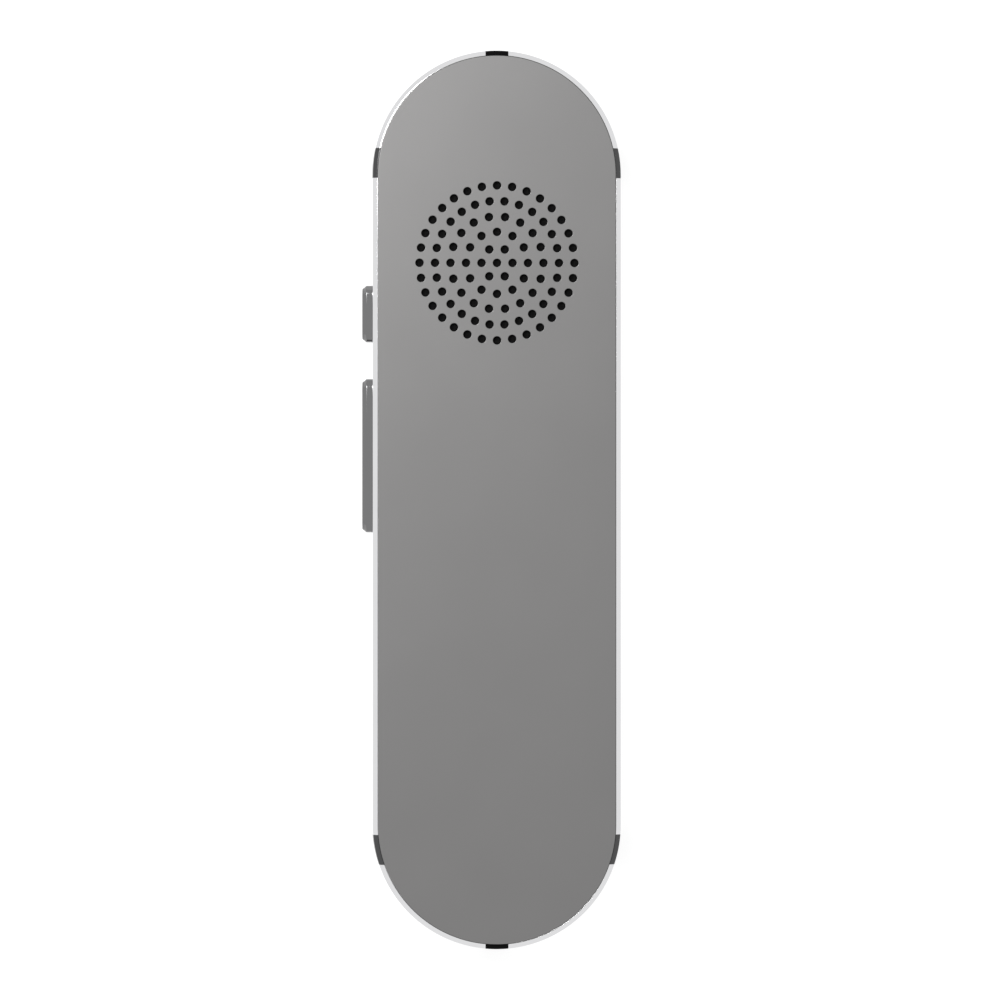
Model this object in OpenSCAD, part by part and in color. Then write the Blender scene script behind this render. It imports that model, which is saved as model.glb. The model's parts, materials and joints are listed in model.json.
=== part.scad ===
// Handheld translator: a slim housing with round ends. A metal frame, cut by
// plastic antenna breaks, carries a perforated back plate over the loudspeaker
// and a glass front with a round talk key. Two keys stand out of its left side.
// The housing lies on its glass: X across, Y along with the loudspeaker end at
// +Y, Z out of the back plate. The origin is the middle of the glass's outer face.

/* [Housing] */
// Length of the housing from end to end
body_l = 140; // [138:0.5:144]
// Width of the housing without the side keys
body_w = 38.8; // [38.6:0.1:41]
// Thickness over the front glass and the back plate
body_t = 11; // [11:0.1:12.5]
// Thickness of the metal frame's wall
frame_wall = 1.8; // [1.6:0.05:2]
// Width of the metal band left bare round the back plate and the glass
band_w = 0.9; // [0.8:0.05:1.1]
// Width of the polished chamfer along the frame's two edges
frame_chamfer = 0.5; // [0.3:0.05:0.6]
// How far the frame's side bulges at mid height
side_crown = 0.15; // [0.05:0.05:0.25]
// How far the glass and the back plate stand proud of the frame
face_proud = 0.15; // [0.05:0.05:0.3]
// Thickness of the tape under the glass and under the back plate
tape_t = 0.15; // [0.1:0.05:0.3]

/* [Back plate and grille] */
// Thickness of the back plate
plate_t = 0.8; // [0.6:0.05:1.2]
// Chamfer on the outer edge of the back plate and of the glass
face_chamfer = 0.15; // [0.05:0.05:0.25]
// Diameter of one sound hole
hole_d = 1.3; // [0.8:0.05:1.6]
// Distance from the outer ring of sound holes to the loudspeaker's rim
grille_inset = 1.45; // [1.3:0.05:2]
// Holes in each ring of the grille, from the middle outwards
ring_holes = [1, 6, 12, 18, 26, 32];
// Distance from the loudspeaker end to the middle of the grille
grille_from_top = 33.15; // [32:0.05:35]

/* [Antenna breaks] */
// Width of the break in the middle of each round end
end_break_w = 3.5; // [2.5:0.1:4]
// Length of the four breaks in the sides
side_break_l = 4.6; // [3:0.1:5]
// Distance from the loudspeaker end to the middle of the upper breaks
upper_break_from_top = 17.6; // [15:0.1:19]
// Distance from the socket end to the middle of the lower breaks
lower_break_from_bottom = 15.6; // [14:0.1:18]
// Thickness of the flange that holds a break behind the frame
break_flange_t = 0.6; // [0.4:0.05:0.7]
// Height of that flange
break_flange_h = 6.2; // [5.6:0.1:6.4]
// How far that flange reaches past the break on either side
break_flange_w = 1.5; // [1:0.1:2]

/* [Front glass and talk key] */
// Thickness of the front glass
glass_t = 0.7; // [0.55:0.05:0.8]
// Diameter of the talk key
talk_key_d = 18; // [16:0.1:19]
// Distance from the socket end to the middle of the talk key
talk_key_from_bottom = 19.4; // [19:0.1:21]
// Depth of the talk key's face below the glass
talk_key_recess = 0.15; // [0.1:0.05:0.3]
// Depth of the dish in the talk key's face
talk_dish = 0.25; // [0.1:0.05:0.3]
// Travel of the talk key
talk_travel = 0.25; // [0.15:0.01:0.3]

/* [Display] */
// Distance from the housing's side to the display panel
display_from_side = 3.2; // [3.1:0.1:6]
// Length of the display panel
display_l = 60; // [54:0.5:61]
// Thickness of the display panel
display_t = 1.5; // [1.2:0.05:1.6]
// Chassis wall left outside the display's corners in the round end
display_corner_wall = 0.45; // [0.4:0.05:1.5]

/* [Side keys] */
// Length of the power key
power_key_l = 8.9; // [7:0.1:10]
// Length of the volume key
volume_key_l = 24; // [20:0.1:25]
// Height of both side keys
side_key_h = 3; // [2.6:0.1:3.2]
// How far both side keys stand out of the frame
side_key_proud = 1.55; // [1:0.05:2]
// Radius of the rounded edge round a side key's face
side_key_round = 0.45; // [0.2:0.05:0.6]
// Distance from the loudspeaker end to the middle of the power key
power_key_from_top = 40.95; // [40:0.05:42]
// Distance from the loudspeaker end to the middle of the volume key
volume_key_from_top = 63.1; // [62.5:0.05:64]
// Travel of the power key, and of the volume key's ends
side_key_travel = 0.3; // [0.2:0.01:0.35]
// Diameter of the pin that the volume key rocks on
rocker_pin_d = 0.8; // [0.6:0.05:0.9]

/* [Chassis and boards] */
// Thickness of the chassis wall inside the frame
chassis_wall = 1.2; // [1:0.05:1.4]
// Thickness of the chassis web between the display and the boards
web_t = 0.7; // [0.6:0.05:0.8]
// Thickness of the main board
main_board_t = 0.8; // [0.6:0.05:1]
// Thickness of the small board that carries the socket
socket_board_t = 0.6; // [0.5:0.05:0.8]
// Height of the main board's underside above the web
board_standoff = 1.9; // [1.7:0.05:2.1]
// Thickness of the battery, which otherwise fills its bay
battery_t = 5.6; // [4:0.1:6]

/* [Loudspeaker] */
// Gap between the loudspeaker's holder and the chassis wall beside it
speaker_side_gap = 1.85; // [1.7:0.05:4]
// Depth of the loudspeaker from rim to magnet
speaker_h = 3.2; // [3:0.05:3.4]
// Thickness of the foam ring on the loudspeaker's rim
gasket_t = 0.5; // [0.4:0.05:0.6]
// Thickness of the dust mesh behind the grille
mesh_t = 0.15; // [0.1:0.05:0.2]

/* [Socket and microphones] */
// Width of the USB socket's shell
usb_w = 8.94; // [8.9:0.01:9.1]
// Height of the USB socket's shell
usb_h = 3.26; // [3.2:0.01:3.4]
// Length of the USB socket's shell
usb_l = 7.3; // [6.8:0.1:8]
// Thickness of the USB socket's shell
usb_shell_t = 0.3; // [0.25:0.05:0.4]
// Depth of the USB socket's mouth below the end of the frame
usb_recess = 0.4; // [0.2:0.05:0.6]
// Angle of each microphone hole from the middle of the socket end
mic_angle = 40; // [34:1:50]
// Diameter of a microphone hole
mic_hole_d = 1; // [0.8:0.05:1.2]

/* [Clearances] */
// Seam between the frame and the plate or glass that it surrounds
seam = 0.03; // [0.02:0.01:0.06]
// Gap between a fixed inner piece and its neighbour
fit = 0.05; // [0.03:0.01:0.08]
// Gap round a side key in its slot, and round the talk key in the glass
key_gap = 0.2; // [0.16:0.01:0.25]
// Play of the rocker's pin and of the screws in their holes, on the radius
pin_play = 0.02; // [0.01:0.01:0.05]
// Gap left between a key at the end of its travel and the switch behind it
stop_gap = 0.05; // [0.03:0.01:0.08]
// Gap between the battery and the strip beside it, and from rib to board
battery_gap = 0.4; // [0.3:0.05:0.5]
// Gap between the battery's ends and the ribs of its bay
battery_end_gap = 0.8; // [0.5:0.05:2]
// Gap between the battery and the side keys' bracket
battery_key_gap = 2.1; // [1.5:0.1:3]

/* [Hidden] */
$fn = 96;

// Plan of the housing: two half circles joined by straight sides.
outer_r = body_w / 2;
straight = body_l - body_w;
top_y = body_l / 2;
bottom_y = -body_l / 2;
end_y = straight / 2;
inner_r = outer_r - frame_wall;
face_r = outer_r - band_w;
recess_r = face_r + seam;
chassis_r = inner_r - fit;
cavity_r = chassis_r - chassis_wall;
board_gap = 0.7;
board_r = cavity_r - board_gap;

// Levels, from the glass at 0 up to the back plate.
mid_z = body_t / 2;
frame_z0 = face_proud;
frame_z1 = body_t - face_proud;
glass_ledge_z = glass_t + tape_t;
plate_z0 = body_t - plate_t;
plate_ledge_z = plate_z0 - tape_t;
chassis_z0 = glass_ledge_z + 2 * fit;
chassis_z1 = plate_ledge_z - 3 * fit;
display_z0 = glass_t + 2 * fit;
web_z0 = display_z0 + display_t + 6 * fit;
web_z1 = web_z0 + web_t;
main_board_z0 = web_z1 + board_standoff;
main_board_z1 = main_board_z0 + main_board_t;
socket_board_z1 = web_z1 + socket_board_t;
port_z = socket_board_z1 + usb_h / 2;

// Places along the housing.
grille_y = top_y - grille_from_top;
power_y = top_y - power_key_from_top;
volume_y = top_y - volume_key_from_top;
talk_y = bottom_y + talk_key_from_bottom;
upper_break_y = top_y - upper_break_from_top;
lower_break_y = bottom_y + lower_break_from_bottom;

// The display lies as near the loudspeaker end as its corners allow.
display_w = body_w - 2 * display_from_side;
display_y1 = end_y + sqrt(pow(chassis_r - display_corner_wall, 2) - pow(display_w / 2, 2));
display_y0 = display_y1 - display_l;

// The loudspeaker fills the width, and its grille follows its rim.
holder_wall = 1;
speaker_r = cavity_r - speaker_side_gap - holder_wall;
ring_pitch = (speaker_r - grille_inset) / (len(ring_holes) - 1);

// The talk key's flange and pocket, which the socket board reaches past.
talk_flange_lap = 0.8;
talk_pocket_gap = 0.4;
talk_flange_r = talk_key_d / 2 + talk_flange_lap;
talk_pocket_r = talk_flange_r + talk_pocket_gap;

// The two boards end at ribs, and the battery fills the bay between those.
main_board_lap = 5.2;
socket_board_lap = 1.2;
rib_t = 0.8;
main_board_y0 = grille_y - speaker_r - main_board_lap;
socket_board_y1 = talk_y + talk_pocket_r + socket_board_lap;
battery_y0 = socket_board_y1 + battery_gap + rib_t + battery_end_gap;
battery_y1 = main_board_y0 - battery_gap - rib_t - battery_end_gap;

// Depths of the side keys' parts, measured inwards from the frame's side.
flange_t = 0.6;
flange_lap = 0.6;
power_flange_d = frame_wall + 2 * fit;
rocker_flange_d = frame_wall + 1.5 * side_key_travel;
nub_d = rocker_flange_d + flange_t + 3 * fit;
switch_d = nub_d + side_key_travel + stop_gap;
switch_plunger = 0.3;
switch_body = 1;
key_flex_t = 0.15;
key_flex_d = switch_d + switch_plunger + switch_body;
bracket_t = 0.4;
bracket_d = key_flex_d + key_flex_t;
bracket_x = -outer_r + bracket_d + bracket_t;
rocker_back_d = rocker_flange_d + flange_t;
pivot_gap = 0.5;
pivot_d = rocker_back_d + rocker_pin_d / 2 + pivot_gap;
rocker_switch_y = 7;

// The battery lies beside the keys' bracket, and its lead leaves at that side.
battery_edge_r = 1.4;
lead_w = 3.2;
battery_x0 = bracket_x + battery_key_gap;
lead_x0 = battery_x0 + battery_edge_r;
lead_x1 = lead_x0 + lead_w;

// Screws, and where they hold the two boards.
screw_d = 1.4;
screw_head_d = 2.4;
screw_head_h = 0.5;
screw_l = 1.9;
screw_tip_gap = 0.3;
screw_hole_gap = 0.1;
screw_hole_r = screw_d / 2 + screw_hole_gap;
boss_d = 3.2;
screw_inset = 3.05;
lead_screw_gap = 0.8;
mid_screw_x = -(lead_x1 + lead_screw_gap + screw_head_d / 2);
mid_screw_edge = 2;
end_screw_angle = 30;
end_screw_x = (board_r - screw_inset) * cos(end_screw_angle);
end_screw_y = end_y + (board_r - screw_inset) * sin(end_screw_angle);
socket_screw_edge = 6.4;
main_screws = [
    for (side = [-1, 1]) each [
        [side * mid_screw_x, main_board_y0 + mid_screw_edge],
        [side * end_screw_x, end_screw_y]
    ]
];
socket_screws = [
    for (side = [-1, 1]) [side * (board_r - screw_inset), socket_board_y1 - socket_screw_edge]
];

// A half-plane profile (x = radius, y = height) swept round the plan of a slot
// or of the housing: two half turns joined by two straight runs.
module sweep_round(run) {
    for (turn = [0, 180]) rotate([0, 0, turn]) {
        translate([0, run / 2, 0]) rotate_extrude(angle = 180) children();
        rotate([90, 0, 0]) linear_extrude(run, center = true) children();
    }
}

// A flat slab with the housing's round-ended plan.
module slab(r, z0, z1) {
    sweep_round(straight) translate([0, z0]) square([r, z1 - z0]);
}

// A band between two radii of the housing's plan.
module band(r0, r1, z0, z1) {
    sweep_round(straight) translate([r0, z0]) square([r1 - r0, z1 - z0]);
}

// A box given by its corners.
module block(x0, x1, y0, y1, z0, z1) {
    translate([x0, y0, z0]) cube([x1 - x0, y1 - y0, z1 - z0]);
}

// A box through the whole thickness, for cutting pieces of the frame apart.
module reach(x0, x1, y0, y1) {
    block(x0, x1, y0, y1, -1, body_t + 1);
}

// A box with upright edges of radius r.
module round_block(x0, x1, y0, y1, z0, z1, r) {
    block(x0 + r, x1 - r, y0, y1, z0, z1);
    block(x0, x1, y0 + r, y1 - r, z0, z1);
    for (x = [x0 + r, x1 - r], y = [y0 + r, y1 - r])
        translate([x, y, z0]) cylinder(r = r, h = z1 - z0);
}

// A round-ended bar: long side along Y, standing along X from depth d0 to d1
// inwards of the left side, with the edge at d0 rounded.
module side_bar(l, h, d0, d1, edge_r = 0) {
    d = d1 - d0;
    corner = edge_r == 0 ? [[h / 2, d]] : [
        for (turn = [0 : 15 : 90])
            [h / 2 - edge_r * (1 - cos(turn)), d - edge_r * (1 - sin(turn))]
    ];
    translate([-outer_r + d1, 0, mid_z]) rotate([0, -90, 0])
        sweep_round(l - h) polygon(concat([[0, 0], [h / 2, 0]], corner, [[0, d]]));
}

// A plain block behind the left side, between two depths.
module side_block(d0, d1, y0, y1, z0, z1) {
    block(-outer_r + d0, -outer_r + d1, y0, y1, z0, z1);
}

// ---- Frame ------------------------------------------------------------------

// Outline of the frame's wall: crowned side, two chamfers, two recesses.
function crown_at(z) = side_crown * pow((z - mid_z) / (frame_z1 - mid_z), 4);
crown_steps = 10;
crown_z0 = frame_z0 + frame_chamfer;
crown_z1 = frame_z1 - frame_chamfer;
side_points = [
    for (i = [0 : crown_steps])
        let (z = crown_z0 + (crown_z1 - crown_z0) * i / crown_steps)
        [outer_r - crown_at(z), z]
];
edge_r = outer_r - crown_at(crown_z1) - frame_chamfer;
frame_points = concat(
    [[inner_r, glass_ledge_z], [recess_r, glass_ledge_z],
     [recess_r, frame_z0], [edge_r, frame_z0]],
    side_points,
    [[edge_r, frame_z1], [recess_r, frame_z1],
     [recess_r, plate_ledge_z], [inner_r, plate_ledge_z]]
);

module frame_ring() { sweep_round(straight) polygon(frame_points); }

half_break = side_break_l / 2;
over = outer_r + 2;

module frame_side() {
    intersection() {
        frame_ring();
        reach(0, over, lower_break_y + half_break, upper_break_y - half_break);
    }
}

module frame_top_arc() {
    intersection() {
        frame_ring();
        reach(end_break_w / 2, over, upper_break_y + half_break, top_y + 1);
    }
}

module frame_bottom_arc() {
    difference() {
        intersection() {
            frame_ring();
            reach(end_break_w / 2, over, bottom_y - 1, lower_break_y - half_break);
        }
        usb_slot();
        mic_bore(1);
    }
}

module key_slots() {
    for (key = [[power_y, power_key_l], [volume_y, volume_key_l]])
        translate([0, key[0], 0])
            side_bar(key[1] + 2 * key_gap, side_key_h + 2 * key_gap, -1, frame_wall + 1);
}

cut_over = 3;
usb_slot_gap = 3 * fit;
module usb_slot() {
    translate([0, bottom_y + frame_wall + cut_over, port_z]) rotate([90, 0, 0])
        pill(usb_w + 2 * usb_slot_gap, usb_h + 2 * usb_slot_gap, frame_wall + 2 * cut_over);
}

// A round-ended block: w across, h high, l deep, standing on the XY plane.
module pill(w, h, l) {
    rotate([0, 0, 90]) sweep_round(w - h) square([h / 2, l]);
}

// A microphone lies behind its boot, which meets the frame's inner wall.
boot_l = 2.75;
boot_w = 3;
boot_h = 2 * (port_z - socket_board_z1);
mic_l = 2.4;
mic_w = 2.8;
mic_h = 1.9;
mic_r = chassis_r - boot_l - mic_l;

// Places its children at a microphone: +X outwards along its sound path.
module at_mic(side) {
    translate([0, -end_y, 0]) rotate([0, 0, -90 + side * mic_angle]) children();
}

// The sound path of one microphone, from its mouth out through the frame.
module mic_bore(side) {
    at_mic(side) translate([mic_r + mic_l - 1, 0, port_z])
        rotate([0, 90, 0]) cylinder(d = mic_hole_d, h = outer_r + 2 - mic_r - mic_l);
}

module frame_side_left() {
    color("silver") difference() {
        mirror([1, 0, 0]) frame_side();
        key_slots();
    }
}
module frame_side_right() { color("silver") frame_side(); }
module frame_arc_top_left() { color("silver") mirror([1, 0, 0]) frame_top_arc(); }
module frame_arc_top_right() { color("silver") frame_top_arc(); }
module frame_arc_bottom_left() { color("silver") mirror([1, 0, 0]) frame_bottom_arc(); }
module frame_arc_bottom_right() { color("silver") frame_bottom_arc(); }

// ---- Antenna breaks ---------------------------------------------------------

// The flange's z levels, also used for its pocket in the chassis.
flange_z0 = mid_z - break_flange_h / 2;
flange_z1 = mid_z + break_flange_h / 2;
core_lap = 0.3;
usb_flange_lap = 2.2;
usb_flange_w = usb_w / 2 - end_break_w / 2 + usb_flange_lap;

// One break: the frame's own section between two cuts, with a flange behind.
module antenna_break(x0, x1, y0, y1, wide_x, wide_y) {
    intersection() {
        frame_ring();
        reach(x0, x1, y0, y1);
    }
    intersection() {
        band(inner_r - break_flange_t, inner_r + core_lap, flange_z0, flange_z1);
        reach(x0, x1, y0, y1);
    }
    intersection() {
        band(inner_r - break_flange_t, inner_r - seam, flange_z0, flange_z1);
        reach(x0 - wide_x, x1 + wide_x, y0 - wide_y, y1 + wide_y);
    }
}

module end_break(end, flange_w) {
    antenna_break(-end_break_w / 2, end_break_w / 2,
        end > 0 ? 0 : bottom_y - 1, end > 0 ? top_y + 1 : 0, flange_w, 0);
}

module side_break(side, y) {
    antenna_break(side > 0 ? 0 : -over, side > 0 ? over : 0,
        y - half_break, y + half_break, 0, break_flange_w);
}

module break_top() { color("dimgray") end_break(1, break_flange_w); }
module break_bottom() {
    color("dimgray") difference() {
        end_break(-1, usb_flange_w);
        usb_slot();
    }
}
module break_upper_left() { color("dimgray") side_break(-1, upper_break_y); }
module break_upper_right() { color("dimgray") side_break(1, upper_break_y); }
module break_lower_left() { color("dimgray") side_break(-1, lower_break_y); }
module break_lower_right() { color("dimgray") side_break(1, lower_break_y); }

// Pockets in the chassis for the flanges of all six breaks.
module flange_pockets() {
    z0 = flange_z0 - fit;
    z1 = flange_z1 + fit;
    reach_w = break_flange_w + fit;
    intersection() {
        band(inner_r - break_flange_t - fit, inner_r + 1, z0, z1);
        union() {
            for (y = [upper_break_y, lower_break_y])
                reach(-over, over, y - half_break - reach_w, y + half_break + reach_w);
            reach(-end_break_w / 2 - reach_w, end_break_w / 2 + reach_w, 0, top_y + 1);
            reach(-end_break_w / 2 - usb_flange_w - fit, end_break_w / 2 + usb_flange_w + fit,
                bottom_y - 1, 0);
        }
    }
}

// ---- Back plate and glass -----------------------------------------------------

// A face plate: flat slab with a small chamfer round its outer edge.
module back_plate() {
    color("gray") difference() {
        sweep_round(straight) polygon([
            [0, plate_z0], [face_r, plate_z0], [face_r, body_t - face_chamfer],
            [face_r - face_chamfer, body_t], [0, body_t]
        ]);
        grille_holes();
    }
}

module grille_holes() {
    translate([0, grille_y, plate_z0 - 1])
        for (ring = [0 : len(ring_holes) - 1])
            for (i = [0 : ring_holes[ring] - 1])
                rotate([0, 0, 360 * i / ring_holes[ring]])
                    translate([ring * ring_pitch, 0, 0])
                        cylinder(d = hole_d, h = plate_t + 2, $fn = 24);
}

module front_glass() {
    color("black") difference() {
        sweep_round(straight) polygon([
            [0, glass_t], [face_r, glass_t], [face_r, face_chamfer],
            [face_r - face_chamfer, 0], [0, 0]
        ]);
        translate([0, talk_y, -1]) cylinder(d = talk_key_d + 2 * key_gap, h = glass_t + 2);
    }
}

tape_inset = 0.08;
module plate_tape() {
    color("dimgray")
        band(inner_r + tape_inset, face_r - tape_inset, plate_ledge_z, plate_z0);
}
module glass_tape() {
    color("dimgray")
        band(inner_r + tape_inset, face_r - tape_inset, glass_t, glass_ledge_z);
}

// ---- Chassis ------------------------------------------------------------------

display_gap = 3 * fit;
connector_h = 0.5;
connector_w = 3;
flex_w = 12;
flex_t = 0.15;
flex_turn = 2.4;
flex_slot_gap = 1;
flex_tail = 4;
flex_tail_y0 = display_y1 - flex_tail;
talk_window_r = 4.4;
key_bay_gap = 0.8;
key_bay_y0 = volume_y - volume_key_l / 2 - flange_lap - key_bay_gap;
key_bay_y1 = power_y + power_key_l / 2 + flange_lap + key_bay_gap;
key_bay_z1 = mid_z + side_key_h;
rib_end_left = 4;
rib_end_right = 1.5;

// Weight-saving pockets: a row of them in the floor below the display.
pocket_count = 3;
pocket_rib = 1.1;
pocket_margin = 2.8;
pocket_row_w = display_w - 2 * pocket_margin;
pocket_w = (pocket_row_w - (pocket_count - 1) * pocket_rib) / pocket_count;
pocket_end_gap = 2.4;
pocket_y0 = talk_y + talk_pocket_r + pocket_end_gap;
pocket_y1 = display_y0 - pocket_end_gap;

module chassis() {
    color("slategray") {
        difference() {
            slab(chassis_r, chassis_z0, chassis_z1);
            slab(cavity_r, web_z1, chassis_z1 + 1);
            // Bay for the display, with the turn of its flex at the near end
            block(-display_w / 2 - display_gap, display_w / 2 + display_gap,
                display_y0 - display_gap, display_y1 + display_gap, 0, web_z0);
            block(-flex_w / 2 - flex_slot_gap, flex_w / 2 + flex_slot_gap,
                display_y1, display_y1 + flex_turn + flex_slot_gap, 0, web_z1 + 1);
            // Bay and window for the talk key
            translate([0, talk_y, 0]) {
                cylinder(r = talk_pocket_r, h = web_z0);
                cylinder(r = talk_window_r, h = web_z1 + 1);
            }
            for (i = [0 : pocket_count - 1])
                translate([-pocket_row_w / 2 + i * (pocket_w + pocket_rib), 0, 0])
                    round_block(0, pocket_w, pocket_y0, pocket_y1, 0, web_z0, pocket_rib);
            flange_pockets();
            // Openings in the wall for the side keys, the socket and the microphones
            side_block(0, bracket_d, key_bay_y0, key_bay_y1, web_z1, key_bay_z1);
            block(-usb_w / 2 - 2 * usb_slot_gap, usb_w / 2 + 2 * usb_slot_gap,
                bottom_y, bottom_y + usb_recess + usb_l + 1,
                web_z1, port_z + usb_h / 2 + usb_slot_gap);
            for (side = [-1, 1]) at_mic(side)
                block(cavity_r - 1, outer_r, -boot_w / 2 - fit, boot_w / 2 + fit,
                    web_z1, socket_board_z1 + boot_h + fit);
            clip_slots();
            screw_holes(socket_screws, socket_board_z1);
        }
        // Bosses for the main board
        difference() {
            for (at = main_screws) translate([at[0], at[1], web_z1 - web_t / 2])
                cylinder(d = boss_d, h = board_standoff + web_t / 2);
            screw_holes(main_screws, main_board_z1);
        }
        // Ribs that part the battery bay from the two boards
        for (y = [main_board_y0 - battery_gap - rib_t, socket_board_y1 + battery_gap])
            block(-cavity_r + rib_end_left, cavity_r - rib_end_right, y, y + rib_t,
                web_z1 - web_t / 2, main_board_z0);
    }
}

// ---- Display ------------------------------------------------------------------

module display_panel() {
    color("darkslategray")
        block(-display_w / 2, display_w / 2, display_y0, display_y1,
            display_z0, display_z0 + display_t);
}

// The flex leaves the display's near edge, turns through the web and ends in a
// connector under the main board.
module display_flex() {
    z0 = display_z0 + display_t / 2;
    z1 = main_board_z0 - connector_h;
    y0 = flex_tail_y0;
    y1 = display_y1 + flex_turn;
    x = flex_w / 2;
    color("chocolate") {
        block(-x, x, display_y1, y1, z0, z0 + flex_t);
        block(-x, x, y1 - flex_t, y1, z0, z1);
        block(-x, x, y0, y1, z1 - flex_t, z1);
        block(-x, x, y0, y0 + connector_w, z1 - flex_t, main_board_z0);
    }
}

// ---- Loudspeaker --------------------------------------------------------------

speaker_z1 = plate_z0 - mesh_t - gasket_t;
speaker_z0 = speaker_z1 - speaker_h;
gasket_lap = 0.4;
gasket_w = 1.6;
holder_lip = 0.8;
magnet_r = 7.6;
coil_r = 6.1;
coil_t = 0.4;
coil_gap = 0.5;
cup_depth = 1.28;
cup_floor = 0.5;
rim_t = 0.6;
rim_w = 0.9;
cone_step = 0.35;
cone_depth = 1.05;
cone_t = 0.12;

module at_speaker() { translate([0, grille_y, 0]) children(); }

module grille_mesh() {
    color("black") at_speaker()
        translate([0, 0, plate_z0 - mesh_t]) cylinder(r = speaker_r + gasket_lap, h = mesh_t);
}

module speaker_gasket() {
    color("dimgray") at_speaker() translate([0, 0, speaker_z1]) difference() {
        cylinder(r = speaker_r + gasket_lap, h = gasket_t);
        translate([0, 0, -1])
            cylinder(r = speaker_r + gasket_lap - gasket_w, h = gasket_t + 2);
    }
}

// The holder stands on the main board and carries the rim on an inner step.
module speaker_holder() {
    lip_r = speaker_r - holder_lip;
    color("dimgray") at_speaker() rotate_extrude() polygon([
        [lip_r, main_board_z1], [speaker_r + holder_wall, main_board_z1],
        [speaker_r + holder_wall, speaker_z1], [speaker_r + fit, speaker_z1],
        [speaker_r + fit, speaker_z1 - rim_t], [lip_r, speaker_z1 - rim_t]
    ]);
}

// Pressed basket: rim with a step for the cone's edge, slanted wall, and a
// collar round the magnet.
module speaker_basket() {
    collar_t = 0.4;
    collar = -cup_depth - 2 * seam;
    step_r = speaker_r - rim_w;
    step_w = 0.7;
    color("darkgray") at_speaker() translate([0, 0, speaker_z1]) rotate_extrude() polygon([
        [magnet_r + seam, collar - collar_t], [magnet_r + 2 * collar_t, collar - collar_t],
        [step_r - step_w, -rim_t - cone_step], [step_r, -rim_t],
        [speaker_r, -rim_t], [speaker_r, 0], [step_r, 0],
        [step_r, -cone_step], [step_r - step_w, -cone_step],
        [magnet_r + 2 * collar_t, collar], [magnet_r + seam, collar]
    ]);
}

// Cup with a round magnet and its top plate; the coil runs in the gap.
module speaker_magnet() {
    cup_z = speaker_z1 - cup_depth;
    floor_z = speaker_z0 + cup_floor;
    color("silver") at_speaker() rotate_extrude() polygon([
        [0, speaker_z0], [magnet_r, speaker_z0], [magnet_r, cup_z],
        [coil_r + coil_gap, cup_z], [coil_r + coil_gap, floor_z],
        [coil_r - coil_gap, floor_z], [coil_r - coil_gap, cup_z], [0, cup_z]
    ]);
}

module speaker_coil() {
    z0 = speaker_z0 + cup_floor + coil_gap;
    color("peru") at_speaker() rotate_extrude()
        translate([coil_r - coil_t / 2, z0]) square([coil_t, speaker_z1 - cone_depth - z0]);
}

// Diaphragm: dome over the coil, cone, and a rolled edge glued to the rim.
module speaker_cone() {
    edge = speaker_r - rim_w - 0.05;
    under = [
        [0, -0.45], [2.6, -0.55], [4.8, -0.8], [coil_r - 0.4, -cone_depth],
        [coil_r + 0.6, -cone_depth], [edge - 2.1, -0.5], [edge - 1.8, -0.25],
        [edge - 1, -0.25], [edge - 0.65, -cone_step], [edge, -cone_step]
    ];
    color("dimgray") at_speaker() translate([0, 0, speaker_z1]) rotate_extrude()
        polygon(concat(
            under, [for (i = [len(under) - 1 : -1 : 0]) [under[i][0], under[i][1] + cone_t]]
        ));
}

// ---- Boards, battery, socket -----------------------------------------------------

strip_t = 0.12;
strip_x = cavity_r - battery_gap;

module main_board() {
    color("darkgreen") difference() {
        intersection() {
            slab(board_r, main_board_z0, main_board_z1);
            reach(-over, over, main_board_y0, top_y);
        }
        reach(-over, bracket_x + 2 * fit, main_board_y0 - 1, key_bay_y1);
        board_holes(main_screws, main_board_z0, main_board_t);
    }
}

// Clearance holes for the screws in a board.
module board_holes(places, z, t) {
    for (at = places) translate([at[0], at[1], z - 1]) cylinder(r = screw_hole_r, h = t + 2);
}

// Cans over the processor, under the board, and over the radio, above it.
can_t = 0.2;
can_gap = 0.2;
can_corner_r = 0.6;
can_margin = 3.4;
can_boss_gap = 1.6;
processor_can_x0 = bracket_x + can_margin;
processor_can_x1 = board_r - can_margin;
processor_can_y0 = main_board_y0 + mid_screw_edge + boss_d / 2 + can_boss_gap;
processor_can_y1 = flex_tail_y0 - can_boss_gap;
radio_can_x = end_screw_x - boss_d / 2 - can_boss_gap;
radio_can_y0 = grille_y + speaker_r + holder_wall + 1;
radio_can_y1 = end_y + sqrt(pow(board_r - can_margin, 2) - pow(radio_can_x, 2));
radio_can_h = 1.5;

// A pressed can, open at the board's face z_board and closed at z_far.
module shield_can(x0, x1, y0, y1, z_board, z_far) {
    up = z_far > z_board;
    z0 = min(z_board, z_far);
    z1 = max(z_board, z_far);
    color("lightgray") difference() {
        round_block(x0, x1, y0, y1, z0, z1, can_corner_r);
        round_block(x0 + can_t, x1 - can_t, y0 + can_t, y1 - can_t,
            up ? z0 - 1 : z0 + can_t, up ? z1 - can_t : z1 + 1, can_corner_r - can_t);
    }
}

module shield_processor() {
    shield_can(processor_can_x0, processor_can_x1, processor_can_y0, processor_can_y1,
        main_board_z0, web_z1 + can_gap);
}

module shield_radio() {
    shield_can(-radio_can_x, radio_can_x, radio_can_y0, radio_can_y1,
        main_board_z1, main_board_z1 + radio_can_h);
}

// A square chip of side w and height h, from z up or down.
module chip(x, y, w, z, h) {
    block(x - w / 2, x + w / 2, y - w / 2, y + w / 2, min(z, z + h), max(z, z + h));
}

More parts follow.
